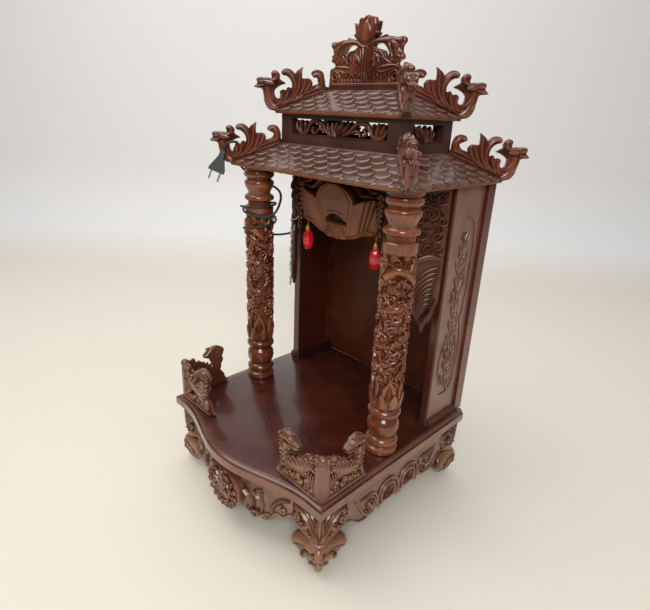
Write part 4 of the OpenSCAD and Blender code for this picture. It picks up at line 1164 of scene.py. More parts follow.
def make_wings():
    high = edges("wing_right")[1]
    wing = Carving()
    edge = [(0, 0), (65, 0), (65, -42), (60, -66), (63, -98), (58, -128), (64, -142), (60, -170), (56, -204),
            (50, -232), (38, -254), (32, -266), (26, -279), (20, -262), (10, -250), (4, -222), (0, -196)]
    wing.board(outline(edge, 3, closed=True), -3.4, 3.4, bevel=1.0)

    def leaf(points, rise=6.2, section=GOUGE, steps=4):
        wing.stroke(points, rise, both=True, section=section, steps=steps)
    # clouds and flames that roll over the upper half
    for u, v, r, a, hand in (
            (16, -22, 12, 200, 1), (46, -18, 12, 320, -1), (30, -50, 13, 90, 1), (52, -58, 10, 30, -1),
            (11, -62, 9, 180, 1), (44, -86, 12, 10, -1), (18, -90, 12, 170, 1), (32, -112, 9, 270, 1),
            (52, -114, 9, 40, -1), (10, -116, 8, 150, 1)):
        wing.curl(u, v, r, 1.25, 7.5, 6.4, start=a, hand=hand, both=True)
    for k in range(9):
        s = 1 if k % 2 else -1
        v = -8 - 14 * k
        leaf([(32 - 22 * s, v, 4), (32 - 6 * s, v - 12, 10), (32 + 14 * s, v - 10, 9), (32 + 28 * s, v - 20, 2)], 5.4)
    # small leaves that close the ground between
    rng = np.random.default_rng(5)
    for k in range(34):
        u, v, a = 8 + 46 * ((k * 0.618) % 1), -8 - 116 * (k + 0.5) / 34, rng.uniform(0, 2 * math.pi)
        leaf([(u, v, 3), (u + 6 * math.cos(a), v + 6 * math.sin(a), 7),
              (u + 11 * math.cos(a + 0.6), v + 11 * math.sin(a + 0.6), 1)], 6.4, ROUND if k % 2 else GOUGE, 3)
    # lower half: a body with rows of long feathers that sweep down and outwards
    leaf([(4, -132, 10), (22, -128, 16), (44, -134, 15), (60, -144, 5)], 6.6, ROUND)
    for k in range(8):
        a, b = 3 + 1.2 * k, -146 - 10.5 * k
        leaf([(a, b, 4), (a + 14, b - 3 + 0.5 * k, 8.5), (a + 32 - k, b - 14, 9),
              (min(57 - 2.6 * k, a + 50), b - 34, 3)], section=ROUND)
        wing.ball(a + 5, b - 4, 5, 2.6, both=True)
    for k in range(5):
        leaf([(8 + 5 * k, -206 - 9 * k, 4), (13 + 5 * k, -222 - 8 * k, 7), (20 + 2 * k, -243 - 6.4 * k, 2)], 6.6)
    # the board leans from the panel's edge inwards and forwards at 45 degrees
    lap = 4.9
    place = plane((high[0] - lap, high[1] - lap, high[2]), (-DIAGONAL, -DIAGONAL, 0), (DIAGONAL, -DIAGONAL, 0))
    pair("wing", wing, place, "wing")
    # clear lead of the left lamp, two strands stapled down the wing's free edge
    wire = Carving()
    route = [(-118, 40, 556), (-132, 47, 560), (-148, 52, 548)]
    for k in range(26):
        u, v = 61 - 0.12 * k + 1.6 * math.sin(1.9 * k), -118 - 6.2 * k
        p = place(u, v, 5.5 + 1.2 * math.cos(2.3 * k)) / MM
        route.append((-p.x, p.y, p.z))
    wire.tube(smooth(route, 3), 1.5)
    second = [(x + 1.2 * math.sin(i), y - 1.4, z + 2 * math.cos(1.3 * i)) for i, (x, y, z) in enumerate(route[3:])]
    wire.tube(smooth(second, 3), 1.3)
    piece("lamp_wire", wire, room, "wire")


def canopy_face(u, v):
    """Height of the canopy's front above its board and how bright it is painted, at one point: an arched panel that
    swells forward over a slot, between planks that fan out upwards. The slot, the recess above the ledge and the
    grooves are painted dark as shade, the edges bright as highlight."""
    a = abs(u)
    swell = np.interp(v, [-122, -105, -80, -48, -16], [4, 8, 13, 20, 23])
    half = 50 * math.sqrt(max(0, 1 - ((v + 48) / 33) ** 2)) if v > -48 else np.interp(v, [-120, -48], [31, 50])
    if a < half:
        h = swell * (1 - 0.1 * (a / 50) ** 2) - 0.9 * max(0, 2 - half + a)
        shine = 0.9 if half - a < 2.5 else 0.76
        top, low = -74 - 13 * (a / 28) ** 2, -91 - 2 * (a / 28) ** 2
        # the slot is painted black as shade
        if a < 28 and low < v < top:
            return -4, 0.0
        if v < low and a < 29:
            rough = math.sin(1.9 * u) * math.sin(1.3 * v + 0.4 * u) + 0.6 * math.sin(0.9 * u + 2.3 * v)
            return 6 + 9 * math.cos(a / 29 * 1.4) + 1.1 * rough, 0.6 + 0.2 * rough
        if abs(half - a - 9) < 1.3 and v > -98:
            return h - 1.4, 0.35
        if v > -76 and abs(v + 67 + 5 * (a / 24) ** 2) < 1.3 and a < 22:
            return h - 1.2, 0.4
        return h, shine
    ledge = np.interp(a, [48, 62, 80, 98], [-50, -43, -37, -33])
    # above the ledge the recess is painted black as shade
    if v > ledge:
        return -5, 0.0
    lines = [np.interp(v, [-112, -40], ends) for ends in ((56, 80), (64, 89), (71, 98))]
    k = sum(a > x for x in lines)
    h = swell * (0.92, 0.76, 0.58, 0.4)[k] - 0.12 * k
    near = min(abs(a - x) for x in lines)
    if near < 1.3 or a - half < 1.5:
        return h - 2, 0.25
    return h - 0.5 * max(0, 3 - (ledge - v)), 0.92 if ledge - v < 3 else 0.78


def make_canopy():
    high = edges("canopy")[1]
    board = Carving()
    rings, relief = [], []
    for u in np.linspace(-98, 98, 141):
        foot = np.interp(abs(u), [0, 12, 30, 48, 68, 88, 98], [-119, -121, -120, -115, -106, -102, -98])
        column, lit = [(u, 0, -9)], [0]
        for v in np.linspace(0, foot, 75):
            h, shine = canopy_face(u, v)
            column.append((u, v, h))
            lit.append(shine)
        rings.append(column + [(u, foot, -9)])
        relief.append(lit + [0.3])
    board.rings(rings, relief)
    start = len(board.verts)
    outer = [(96, 0), (150, 0), (144, -14), (134, -30), (133, -38), (142, -42), (148, -50), (144, -62), (133, -74),
             (124, -84), (116, -96), (106, -101), (96, -99)]
    for s in (-1, 1):
        board.board([(s * u, min(v, 0)) for u, v in outline(outer, 2, closed=True)], -12, -4, bevel=1.2)

        def leaf(points, rise=9, section=GOUGE, base=-5, s=s):
            board.stroke([(s * p[0], *p[1:]) for p in points], rise, base, section)
        # lip over the shoulder, roll at the foot, then dark leaves with a scaly roll between them
        leaf([(12, -9, 5), (34, -11, 7), (52, -20, 8), (66, -30, 8), (86, -28, 5)], 20, ROUND, -4)
        leaf([(60, -8, 5), (74, -14, 8), (86, -22, 8), (97, -20, 4)], 15, ROUND, -4)
        leaf([(96, -96, 5), (80, -97, 8), (62, -103, 9), (46, -111, 8), (28, -117, 6)], 15, ROUND, -6)
        leaf([(104, -22, 8), (106, -46, 15), (102, -70, 15), (96, -92, 8)], 10, ROUND)
        for k in range(6):
            for j in range(3):
                board.ball(s * (100 + 5.4 * j - 0.7 * k), -30 - 10 * k + 4 * (j % 2), 3.5, 4.2, 0.7, 8)
        leaf([(108, -2, 5), (116, -14, 9), (118, -30, 8), (112, -44, 3)], 11)
        leaf([(124, -2, 5), (132, -14, 9), (130, -30, 8), (122, -42, 3)], 9)
        for k, (u, v) in enumerate(((122, -30), (124, -50), (120, -68), (112, -84))):
            leaf([(u - 6, v + 4, 5), (u + 8, v + 4, 10), (u + 20 - 4 * k, v - 6, 9), (u + 20 - 4 * k, v - 16, 3)], 9)
            board.curl(s * (u + 2), v - 8, 6.5, 1.2, 5, 9, -4, start=50 * k, hand=s)
    # the leaves outside the face get half the painted light, so they stay darker
    for i in range(start, len(board.verts)):
        if abs(board.verts[i][0]) > 98:
            board.relief[i] *= 0.5
    thick = 13
    place = plane((0, high[1] - thick, high[2]), (1, 0, 0), (0, -1, 0))
    carve("canopy", board, place, "canopy")


def make_lamps():
    low, high = edges("lamp_bulbs")
    cap_low, cap_high = edges("lamp_caps")
    tall, lead = high[2] - low[2], cap_high[2] - cap_low[2]
    radius, middle = (high[1] - low[1]) / 2, (high[0] + low[0]) / 2
    # every other ring of corners stands in a little, so that the bands of facets show
    profile = [(0.2, 0)] + [(radius * math.sin(a) ** 0.85 * (1.0 if k % 2 else 0.96), tall * (1 - math.cos(a)) / 2)
                            for k, a in enumerate(np.linspace(0.35, 2.75, 9))] + [(5.2, tall), (0.2, tall)]
    bulb, cap, bulbs, caps = Carving(), Carving(), Carving(), Carving()
    bulb.lathe(profile, 10, lambda v: 0.8)
    cap.lathe([(0.2, 0), (5.6, 0), (6, 1), (5.2, 2.2), (6, 3.6), (5.2, 5), (5.8, 6.4), (4.6, 8.4), (3.4, 10.6),
               (1.6, 12), (1.3, 13), (1.3, lead - 0.4), (0.2, lead)], 24)
    for s in (-1, 1):
        x = middle + s * (high[0] - radius - middle)
        for part, foot, whole in ((bulb, low[2], bulbs), (cap, cap_low[2], caps)):
            up = turned(x, (low[1] + high[1]) / 2, foot)
            whole.take(part, lambda u, v, h: up(u, v, h) / MM)
    piece("lamp_bulbs_faceted", bulbs, room, "red", ["lamp_bulbs"], sharp=8)
    piece("lamp_caps_ribbed", caps, room, "brass", ["lamp_caps"])


# ---------- roofs ----------

def scale_field(length, run, across, rows, seed):
    """Overlapping roof scales on one slope: u along the eave, v inwards and h square to the board.
    The first row hangs over the eave board's edge."""
    field = Carving()
    rng = np.random.default_rng(seed)
    pitch = (run + 2) / rows
    n = max(3, round(length / across))
    step = length / n
    for row in range(rows):
        v0 = pitch * row - 1.5
        for k in range(-1, n + 1):
            u0 = -length / 2 + step * (k + 0.5 + 0.5 * (row % 2))
            limit = length / 2 - 12 - v0 - pitch * 0.5
            if abs(u0) - step * 0.28 > limit:
                continue
            # about one scale in four is stained wine red
            tone = float(rng.uniform(0.0, 0.25)) if rng.uniform() > 0.28 else float(rng.uniform(0.5, 1.0))
            lean = rng.uniform(-0.4, 0.4)
            start = len(field.verts)
            rings, relief = [], []
            for i in range(11):
                x = -1 + 2 * i / 10
                u = max(-limit - 3, min(limit + 3, u0 + x * step * 0.475))
                low = v0 + pitch * 0.8 * (1 - math.sqrt(max(0, 1 - (abs(x) * 0.985) ** 2)))
                high = v0 + pitch * 1.7
                top = 3.6 - 1.3 * x * x + lean * x
                drop = max(0, 1 - low / 4) if row == 0 else 0
                ring = [(u, low + 1.6, -0.6 - 5 * drop), (u, low, top * 0.5 - 4 * drop),
                        (u, low + 1.1, top - 0.7 - 2 * drop), (u, low + 2.8, top - 0.6 * drop),
                        (u, low + 5.2, top - 0.1)]
                ring += [(u, low + 5.2 + (high - low - 5.2) * t, top - (top - 0.7) * t) for t in (0.35, 0.7, 1.0)]
                ring.append((u, high, -0.6))
                rings.append(ring)
                # painted highlight on each scale's lip, painted shade on its underside and where the row above
                # overlaps it
                relief.append([0.0, 0.85, 1.0, 0.92, 0.7, 0.66, 0.4, 0.1, 0.0])
            field.rings(rings, relief)
            # the stain is rubbed off the crests
            for i in range(start, len(field.verts)):
                field.tone[i] = tone * (1 - max(0.0, field.relief[i] - 0.72) * 3.5)
    return field


def make_roof(level, seed):
    """Roof boards with thin eaves, and the scales and border strips on the four slopes of one roof."""
    look = settings()
    low, high = edges(level + "_slope_front")
    width, run = high[0] - low[0], high[1] - low[1]
    back_edge, front_edge = edges(level + "_slope_right")[1][1], edges(level + "_slope_left")[0][1]
    deep, middle = back_edge - front_edge, (back_edge + front_edge) / 2
    bottom, eave_height = edges(level + "_soffit")[0][2], 5.5
    eave = bottom + eave_height
    rise = high[2] - eave
    lean = math.atan2(rise, run)
    # soffit board, thinned under the scales towards its edge
    soffit = Carving()
    rings = []
    for back, z in ((0.8, 0), (0, 0.8), (0, 4), (0.6, 4.6), (9, 8)):
        w, d = width / 2 - back, deep / 2 - back
        rings.append([(x, middle + y, bottom + z) for x, y in ((-w, -d), (w, -d), (w, d), (-w, d))])
    soffit.rings(rings, [[0.7] * 4] * 5)
    piece(level + "_soffit_thinned", soffit, room, "edge", [level + "_soffit"], sharp=20)
    for k, side in enumerate(("front", "right", "back", "left")):
        length, out = (width, deep / 2) if k % 2 == 0 else (deep, width / 2)
        field = scale_field(length, run, look.scale_width / MM, look.scale_rows, seed + k)
        field.board([(-length / 2 + 1.5, 1.5), (length / 2 - 1.5, 1.5), (length / 2 - run, run),
                     (run - length / 2, run)], -4, 0, bevel=0.5)
        # smooth borders along the hips and under the top board
        for s in (-1, 1):
            line = [(s * (length / 2 - 8 - v), v, 9) for v in np.linspace(-1, run - 3, 12)]
            field.stroke(line, 2.4, 0, FLAT, steps=1, sink=0.5)
        reach = length / 2 - run - 1
        field.stroke([(u, run - 2, 4) for u in np.linspace(-reach, reach, 12)], 3, 0, ROUND, steps=1, sink=0.5)
        turn = Matrix.Rotation(math.pi / 2 * k, 4, "Z")

        def place(u, v, h, turn=turn, out=out):
            p = turn @ Vector((u, -out + v - h * math.sin(lean), 0))
            return Vector((p.x, p.y + middle, eave + v * rise / run + h * math.cos(lean))) * MM
        piece(f"{level}_scales_{side}", field, place, "tiles", [f"{level}_slope_{side}"], sharp=50)


def make_roofs():
    make_roof("lower", 21)
    make_roof("upper", 61)
    coat_nodes("frame", "lower_ledge", "ridge_cap")


def finial(hip, foot, top):
    """A bird's head on a curved neck with flame leaves behind it, both faces carved:
    u out along the hip from the eave corner, v up from the soffit."""
    made = Carving()
    end = 4 - hip

    def leaf(points, rise=7.2, section=ROUND, steps=4):
        made.stroke(points, rise, both=True, section=section, steps=steps)

    def on_hip(k, above):
        return (-hip * k, foot + (top - foot) * k + above)
    # the sawn board: throat, beak, plume, ear, the three leaves and the curl at the hip's end
    sawn = [
        (-4, 2), (5, 6), (13, 14), (19, 25), (23, 37), (27, 44), (34, 45), (42, 46.5), (38, 51), (35, 54), (37, 60),
        (34, 64), (27, 65), (20, 64), (13, 61), (8, 63), (7, 67), (8, 72), (6, 76), (0, 78), (-6, 75), (-9.5, 69),
        (-9, 63), (-13, 60), (-21, 55), (-12, 52), (-4, 47), (1, 42), (1, 35), (-1, 30), (-5, 27.5), (-9, 29),
        (-10, 34), (-9, 39), (-12, 43), (-17, 44), (-21, 43), (-23, 47), (-27, 49), (-31, 47), (-33, 51), (-32, 58),
        (-29, 64), (-24, 68), (-18, 69), (-13, 71), (-12, 76), (-16, 80.5), (-24, 82), (-31, 80), (-36, 76),
        (-39, 74), (-42, 78), (-47, 82), (-54, 86), (-52.5, 79), (-52.5, 71), (-53, 66), (-60, 66), (-66, 66),
        (-71, 63), (-72, 57), (-69, 51), (-76, 54), (-84, 57), (end + 13, 62), (end + 13, 66), (end + 19, 69),
        (end + 25, 72), (end + 25, 77), (end + 20, 81), (end + 11, 82), (end + 3, 78), (end, 71), (end, 60),
        on_hip(1.0, -1), on_hip(0.5, -2), on_hip(0.15, -2)]
    made.board(outline(sawn, 2, closed=True), -4, 4, bevel=1.3)
    # root strip along the hip, and the end curl that swells out of it
    leaf([(*on_hip(0.06, 3), 7), (*on_hip(0.35, 3), 7), (*on_hip(0.7, 3), 7), (*on_hip(0.95, 3), 7)], 5.6)
    leaf([(*on_hip(0.3, 9), 4), (*on_hip(0.58, 10), 8), (*on_hip(0.8, 12), 12), (end + 6, top + 9, 14),
          (end + 5, top + 20, 13), (end + 10, top + 28.5, 11), (end + 19, top + 28, 9)], 7.4, steps=5)
    leaf([(*on_hip(0.5, 12), 2), (*on_hip(0.78, 15), 3.5), (end + 4, top + 14, 3.5), (end + 7, top + 26, 2)], 8.4)
    made.ball(end + 19.5, top + 27, 6.4, 3.6, 0.5, both=True)
    # neck and throat folds
    leaf([(-6, 9, 10), (7, 15, 20), (13, 27, 20), (14, 38, 16), (17, 47, 15)], 7.6, steps=5)
    leaf([(23, 46, 4), (21, 36, 6), (17, 25, 6), (8, 14, 2)], 8.8)
    leaf([(15, 47, 4), (12, 38, 6), (7, 30, 6), (-3, 21, 2)], 8.6)
    # head, brow, beak, plume and ear
    leaf([(2, 55, 11), (14, 56.5, 16), (25, 58, 13), (34, 59, 11)], 8, steps=5)
    leaf([(10, 61, 3), (18, 61, 5), (27, 62.5, 5), (35, 60, 3)], 9)
    leaf([(22, 51, 7), (30, 49.5, 7), (36, 48, 4), (41, 47.2, 2)], 7.4)
    made.ball(22, 56.5, 7.2, 3, both=True)
    leaf([(9, 58, 6), (0, 62, 9), (-4, 68, 10), (-1, 73.5, 8), (4, 72, 6)], 7.6, steps=5)
    leaf([(6, 58, 3), (-5, 62, 4), (-7.5, 69, 3)], 8.4)
    leaf([(15, 54, 7), (2, 55.5, 9), (-9, 57.5, 7), (-20, 55, 2)], 8, GOUGE)
    leaf([(14, 49, 7), (4, 49, 8), (-6, 51, 5), (-12, 52.5, 1)], 7.2, GOUGE)
    # leaves that fan out of the root of the neck: two small, the tall curl, the point and the short pair
    leaf([(-2, 14, 4), (-11, 20, 7), (-14, 30, 9), (-14, 40, 7)], 8)
    leaf([(-8, 15, 4), (-20, 25, 8), (-24, 36, 9), (-27, 46, 4)], 7.2)
    leaf([(-6, 11, 4), (-22, 21, 7), (-34, 34, 10), (-39, 50, 12), (-35, 65, 12), (-27, 74, 11), (-17, 76, 9)], 8,
         steps=5)
    leaf([(-22, 25, 2), (-33, 42, 3), (-34, 56, 3.5), (-28, 66, 4), (-20, 70, 2)], 9)
    made.ball(-17, 75, 6.6, 3.8, 0.5, both=True)
    leaf([(-14, 14, 4), (-32, 25, 7), (-44, 42, 10), (-47.5, 58, 11), (-48, 72, 9), (-53, 85, 1)], 7.6)
    leaf([(-30, 30, 2), (-41, 47, 3), (-43, 62, 3.5), (-43, 76, 1.5)], 8.2)
    leaf([(-24, 18, 4), (-42, 28, 7), (-53, 42, 9), (-58, 54, 10), (-60, 64, 4)], 7)
    leaf([(-34, 21, 4), (-52, 33, 7), (-63, 46, 9), (-69, 57, 9), (-67, 64, 4)], 7.4)
    leaf([(-44, 25, 3), (-60, 36, 4), (-70, 48, 5), (-80, 55, 2)], 6.4)
    return made


def make_finials():
    for level in ("lower", "upper"):
        low, high = edges(level + "_slope_front")
        soffit = edges(level + "_soffit")[0][2]
        middle = (edges(level + "_slope_right")[1][1] + low[1]) / 2
        # the hip starts above the soffit, over the eave board's edge
        carving = finial((high[1] - low[1]) * math.sqrt(2), 6, high[2] - soffit)
        place = plane((high[0], low[1], soffit), (DIAGONAL, -DIAGONAL, 0), (DIAGONAL, DIAGONAL, 0))
        four(level + "_finial", carving, place, middle, "finial")


# ---------- clerestory and crest ----------

def lotus_spray(wide):
    """A lotus that fills the lower part of a window, carved on both faces; the wide one has a leaf
    arch and a half-open flower to each side of it."""
    made = Carving()
    half = 120 if wide else 44

    def leaves(*rows, s=1, section=HOLLOW, steps=4):
        made.leaves(rows, s, both=True, section=section, steps=steps)
    leaves((4.5, (-half, 1.2, 3), (0, 1.2, 3), (half, 1.2, 3)), section=FLAT, steps=6)
    if not wide:
        leaves((3.6, (-6, 3, 5), (-20, 10, 9), (-36, 20, 2)), (3, (-5, 3, 5), (-18, 17, 11), (-39, 27, 3)),
               (4, (-5, 3, 6), (-14, 16, 11), (-24, 27, 3)), (4, (1, 3, 6), (9, 13, 12), (13, 25, 3)),
               (4.6, (3, 3, 5), (15, 11, 11), (24, 20, 3)), (5.4, (-4, 2, 8), (-4, 14, 15), (-5, 26, 4)),
               (5, (0, 3, 5), (17, 5, 8), (34, 3, 2)), (5, (-7, 3, 5), (-22, 5, 7), (-39, 3, 2)))
        return made
    for s in (-1, 1):
        # lotus petals, widest at the back
        leaves((3.4, (4, 3, 5), (22, 7, 10), (38, 20, 3)), (4.2, (4, 3, 5), (16, 11, 12), (27, 25, 3)),
               (4.8, (2, 3, 5), (8, 14, 12), (13, 27, 3)), s=s)
        # leaf arch over to the half-open flower, the curl under it, and the flower
        leaves((4.6, (26, 9, 5), (42, 23, 9), (59, 28, 8), (71, 25, 9), (77, 15, 5)),
               (5.4, (34, 12, 3), (48, 23, 4), (62, 25, 4), (72, 19, 2)),
               (5, (14, 4, 4), (34, 11, 7), (49, 13, 8), (57, 5, 4)), (4.4, (60, 4, 3), (68, 9, 7), (64, 17, 6)),
               (4, (77, 17, 5), (84, 7, 9), (97, 4, 10), (109, 9, 8), (115, 20, 3)), s=s, section=ROUND)
        leaves((4.8, (86, 8, 5), (83, 19, 9), (88, 27, 3)), (5.2, (96, 6, 5), (97, 16, 11), (99, 28, 3)),
               (4.6, (102, 8, 5), (107, 17, 9), (110, 27, 3)), s=s)
    leaves((5.6, (0, 2, 8), (-1, 14, 14), (-1, 27, 4)))
    return made


def make_clerestory():
    coat_nodes("frame", "clerestory_front", "clerestory_back", "clerestory_left", "clerestory_right")
    low, high = edges("clerestory_frets")
    foot, middle = low[2], (low[1] + high[1]) / 2
    front, right = edges("clerestory_front"), edges("clerestory_right")
    front_y, right_x = (front[0][1] + front[1][1]) / 2, (right[0][0] + right[1][0]) / 2
    sprays = Carving()
    for y in (front_y, 2 * middle - front_y):
        sprays.take(lotus_spray(True), lambda u, v, h: (u, y + h, foot + v))
    for x in (-right_x, right_x):
        sprays.take(lotus_spray(False), lambda u, v, h: (x + h, middle + u, foot + v))
    piece("window_sprays_carved", sprays, room, "wing", ["clerestory_frets"])


def make_crest():
    """Ridge crest: a lotus bud over scrolls, with a dragon's head on an arm at each side."""
    low, high = edges("ridge_crest")
    crest = Carving()

    def leaves(*rows, s=1, section=ROUND, steps=4):
        crest.leaves(rows, s, both=True, section=section, steps=steps)
    half = [(89, 0), (89.5, 12), (89.5, 29), (84, 33.5), (78, 34.5), (76, 38), (79, 42), (86, 44.5), (86, 49.5),
            (82, 54), (81, 61), (83, 66), (87.5, 70), (87.5, 75), (83, 78.5), (77, 78.5), (74, 75), (67, 77.5),
            (58, 80.5), (50, 80), (45, 79), (46, 83.5), (39, 82.5), (31, 79.5), (24, 79), (19, 79), (22, 83),
            (32, 87.5), (25, 90.5), (24, 96), (31, 105.5), (24, 105.5), (20.5, 103), (19, 112), (12, 114), (6, 112),
            (0, 117.3)]
    right = outline(half, 2)
    gap = outline([(20, 67), (28, 62.5), (38, 61), (45, 58), (49, 50), (54, 51), (54.5, 56), (49, 62.5), (44, 68),
                   (35, 71), (26, 70)], 2, closed=True)
    holes = [[(s * u, v) for u, v in gap] for s in (-1, 1)]
    crest.board(right + [(-u, v) for u, v in right[-2::-1]], -5, 5, holes, 1.4)
    # stem in two strands and a knot under the bud
    for s in (-1, 1):
        leaves((7.6, (3.5, 12, 6), (3, 36, 5), (4.5, 62, 7), (11, 72, 5)),
               (6.8, (9, 30, 3), (8, 46, 4), (11, 62, 4), (17, 70, 2)), s=s)
    leaves((8, (-15, 71, 4), (0, 66, 7), (15, 71, 4)))
    # smooth pointed bud with a fold, petals behind it
    leaves((8.8, (0, 74, 8), (0, 83, 22), (0, 94, 25), (0, 104, 16), (0, 111, 4)), steps=7)
    leaves((9.6, (-9, 97, 1.5), (-4, 88, 3), (1, 80, 2)))
    for s in (-1, 1):
        leaves((7.2, (8, 74, 7), (15, 84, 10), (17, 98, 9), (14, 112, 3)),
               (6.6, (10, 74, 5), (20, 84, 8), (24, 96, 8), (29, 105, 2)),
               (6.8, (10, 74, 5), (20, 82, 8), (31, 87.3, 2)), (6.4, (4, 100, 4), (7, 108, 7), (3, 116, 2)),
               s=s, section=GOUGE)
        # arm and the dragon's head that looks down from it
        leaves((7.6, (12, 71, 6), (24, 75, 8), (40, 76, 11), (54, 75, 12), (66, 71, 14)), s=s, steps=5)
        leaves((6.6, (28, 78, 4), (38, 80, 5), (45, 83, 2)),
               (7.8, (60, 78, 5), (72, 74, 9), (80, 74, 11), (85, 76, 6)), s=s)
        leaves((8.4, (62, 72, 10), (71, 64, 16), (74, 54, 16), (79, 48.5, 10), (85, 47, 4)), s=s, steps=5)
        leaves((7.6, (56, 71, 5), (58, 62, 7), (63, 52, 7), (66, 43, 5), (74, 41, 4), (81, 44, 2)), s=s)
        crest.ball(s * 75, 62, 7.4, 3, both=True)
        leaves((9, (78, 66, 3), (76, 57, 4), (82, 52, 3)), s=s)
        for k in range(4):
            crest.curl(s * (59 + 2.4 * k), 72 - 8.5 * k, 4.6, 1.1, 3.6, 8, start=70 * k if s > 0 else 180 - 70 * k,
                       hand=s, both=True)
        # scrolls under the arm
        leaves((7.2, (20, 60, 5), (32, 59, 6), (42, 54, 6), (47, 46, 6), (56, 41, 5), (66, 37, 3)), s=s)
        crest.curl(s * 38, 46, 8, 1.3, 5.5, 7.4, start=80 if s > 0 else 100, hand=-s, both=True)
        # smooth domed leaf beside the stem
        leaves((7.6, (22, 34, 8), (23, 44, 17), (24, 52, 15), (22, 60, 3)), s=s, steps=6)
        leaves((7, (12, 34, 3), (13, 46, 5), (20, 60, 3), (30, 56, 5), (35, 44, 4)), s=s)
        crest.curl(s * 17, 42, 4.6, 1.0, 3.6, 8.4, start=20 if s > 0 else 160, hand=s, both=True)
        # long lobe and coiled ends of the base
        leaves((7.4, (36, 32, 5), (50, 34, 9), (66, 35, 8), (78, 33, 4)),
               (6.8, (34, 26, 4), (48, 25, 6), (62, 28, 6), (84, 31, 4)), s=s)
        crest.curl(s * 73, 18, 9.5, 1.4, 5.5, 8, start=150 if s > 0 else 30, hand=-s, both=True)
        leaves((7, (62, 8, 5), (61, 18, 5), (66, 27, 4)), (7, (87, 6, 4), (86, 18, 5), (84, 29, 4)), s=s)
        # a row of small upright curls over the plain foot
        for k in range(7):
            u = 5 + 8.4 * k
            crest.curl(s * u, 21 - 3 * (k % 2), 4.8, 1.15, 3.8, 7.6, start=110 if s > 0 else 70, hand=s, both=True)
            leaves((6.8, (u - 3, 8, 3), (u - 1, 14, 4), (u + 3, 18, 2)), s=s)
    leaves((6, (-89, 3.4, 7), (0, 3.4, 7), (89, 3.4, 7)), section=FLAT, steps=6)
    carve("ridge_crest", crest, plane((0, (low[1] + high[1]) / 2, low[2]), (1, 0, 0), (0, -1, 0)), "carved")


# ---------- add-on ----------

class AltarSettings(bpy.types.PropertyGroup):
    gloss: FloatProperty(
        name="Gloss", description="Roughness of the lacquer on the carved wood, lower is glossier",
        default=0.2, min=0.08, max=0.8, subtype="FACTOR")
    # the darkest grain streaks; the cuts are darkened further with painted shade
    wood_dark: FloatVectorProperty(
        name="Carved wood, cuts", description="Stain in the streaks and cuts of the carved wood",
        default=linear("#341206")[:3], size=3, min=0, max=1, subtype="COLOR")
    wood_body: FloatVectorProperty(
        name="Carved wood, body", description="Main colour of the carved wood",
        default=linear("#66321f")[:3], size=3, min=0, max=1, subtype="COLOR")
    # the paler grain streaks, also painted on the crests as highlight
    wood_pale_and_highlight: FloatVectorProperty(
        name="Carved wood, crests", description="Rubbed crests of the carved wood",
        default=linear("#98593c")[:3], size=3, min=0, max=1, subtype="COLOR")
    scale_width: FloatProperty(
        name="Roof scale width", description="Width of one carved roof scale",
        default=0.035, min=0.02, max=0.06, unit="LENGTH")
    scale_rows: IntProperty(
        name="Roof scale rows", description="Rows of scales from the eave to the top of a slope",
        default=5, min=4, max=9)


class ALTAR_OT_cord(bpy.types.Operator):
    """Lay the power lead from the side panel round the column to its plug"""
    bl_idname = "altar.cord"
    bl_label = "Power cord"

    def execute(self, context):
        make_cord()
        return {"FINISHED"}


class ALTAR_OT_base_board(bpy.types.Operator):
    """Mould the bowed base board"""
    bl_idname = "altar.base_board"
    bl_label = "Base board"

    def execute(self, context):
        make_base_board()
        return {"FINISHED"}


class ALTAR_OT_aprons(bpy.types.Operator):
    """Carve the aprons and the lion boss under the board"""
    bl_idname = "altar.aprons"
    bl_label = "Aprons"

    def execute(self, context):
        make_aprons()
        return {"FINISHED"}


class ALTAR_OT_feet(bpy.types.Operator):
    """Carve the four feet"""
    bl_idname = "altar.feet"
    bl_label = "Feet"

    def execute(self, context):
        make_feet()
        return {"FINISHED"}


class ALTAR_OT_galleries(bpy.types.Operator):
    """Carve the two corner galleries and mould their posts"""
    bl_idname = "altar.galleries"
    bl_label = "Galleries"

    def execute(self, context):
        make_galleries()
        return {"FINISHED"}


class ALTAR_OT_columns(bpy.types.Operator):
    """Turn and carve the two dragon columns"""
    bl_idname = "altar.columns"
    bl_label = "Columns"

    def execute(self, context):
        make_columns()
        return {"FINISHED"}


class ALTAR_OT_cabinet(bpy.types.Operator):
    """Carve the side panels and finish the cabinet boards"""
    bl_idname = "altar.cabinet"
    bl_label = "Cabinet"

    def execute(self, context):
        make_cabinet()
        return {"FINISHED"}


class ALTAR_OT_wings(bpy.types.Operator):
    """Carve the two wings and staple the lamp lead down one"""
    bl_idname = "altar.wings"
    bl_label = "Wings"

    def execute(self, context):
        make_wings()
        return {"FINISHED"}


class ALTAR_OT_canopy(bpy.types.Operator):
    """Carve the arched canopy"""
    bl_idname = "altar.canopy"
    bl_label = "Canopy"

    def execute(self, context):
        make_canopy()
        return {"FINISHED"}


class ALTAR_OT_lamps(bpy.types.Operator):
    """Make the two red lamps and their caps"""
    bl_idname = "altar.lamps"
    bl_label = "Lamps"

    def execute(self, context):
        make_lamps()
        return {"FINISHED"}


class ALTAR_OT_roofs(bpy.types.Operator):
    """Lay the carved scales on both roofs"""
    bl_idname = "altar.roofs"
    bl_label = "Roofs"

    def execute(self, context):
        make_roofs()
        return {"FINISHED"}


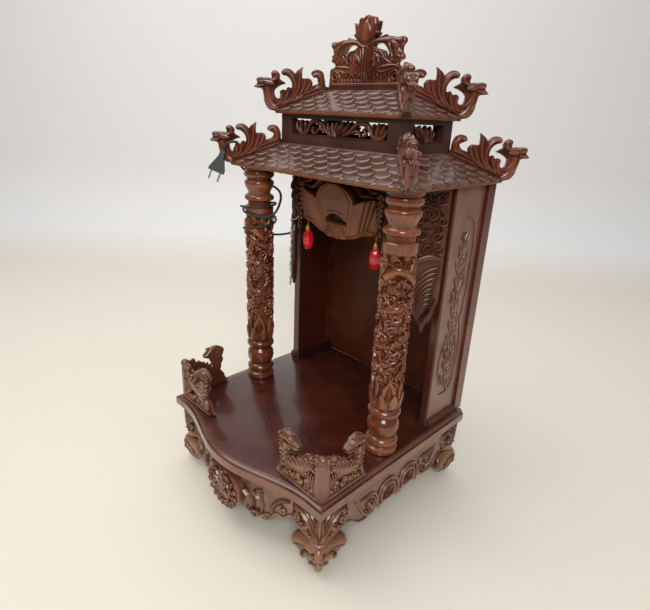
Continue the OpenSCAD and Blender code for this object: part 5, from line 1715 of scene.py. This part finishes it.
class ALTAR_OT_finials(bpy.types.Operator):
    """Carve the eight roof finials"""
    bl_idname = "altar.finials"
    bl_label = "Finials"

    def execute(self, context):
        make_finials()
        return {"FINISHED"}


class ALTAR_OT_clerestory(bpy.types.Operator):
    """Finish the window frames and carve their lotus sprays"""
    bl_idname = "altar.clerestory"
    bl_label = "Clerestory"

    def execute(self, context):
        make_clerestory()
        return {"FINISHED"}


class ALTAR_OT_crest(bpy.types.Operator):
    """Carve the ridge crest"""
    bl_idname = "altar.crest"
    bl_label = "Crest"

    def execute(self, context):
        make_crest()
        return {"FINISHED"}


class ALTAR_OT_stage(bpy.types.Operator):
    """Set up the pale floor, the soft lights and the camera"""
    bl_idname = "altar.stage"
    bl_label = "Stage"

    def execute(self, context):
        make_camera()
        make_backdrop()
        make_daylight()
        return {"FINISHED"}


OPERATORS = [
    ALTAR_OT_stage, ALTAR_OT_cord, ALTAR_OT_base_board, ALTAR_OT_aprons, ALTAR_OT_feet, ALTAR_OT_galleries,
    ALTAR_OT_columns, ALTAR_OT_cabinet, ALTAR_OT_wings, ALTAR_OT_canopy, ALTAR_OT_lamps, ALTAR_OT_roofs,
    ALTAR_OT_finials, ALTAR_OT_clerestory, ALTAR_OT_crest,
]


class ALTAR_PT_panel(bpy.types.Panel):
    bl_label = "Altar"
    bl_space_type = "VIEW_3D"
    bl_region_type = "UI"
    bl_category = "Altar"

    def draw(self, context):
        look = context.scene.altar
        for key in ("gloss", "wood_dark", "wood_body", "wood_pale_and_highlight", "scale_width", "scale_rows"):
            self.layout.prop(look, key)
        for kind in OPERATORS:
            self.layout.operator(kind.bl_idname)


CLASSES = [AltarSettings] + OPERATORS + [ALTAR_PT_panel]


def register():
    for kind in CLASSES:
        bpy.utils.register_class(kind)
    bpy.types.Scene.altar = PointerProperty(type=AltarSettings)


def unregister():
    del bpy.types.Scene.altar
    for kind in reversed(CLASSES):
        bpy.utils.unregister_class(kind)


def main():
    register()
    for kind in OPERATORS:
        getattr(bpy.ops.altar, kind.bl_idname.split(".")[1])()


if __name__ == "__main__":
    main()
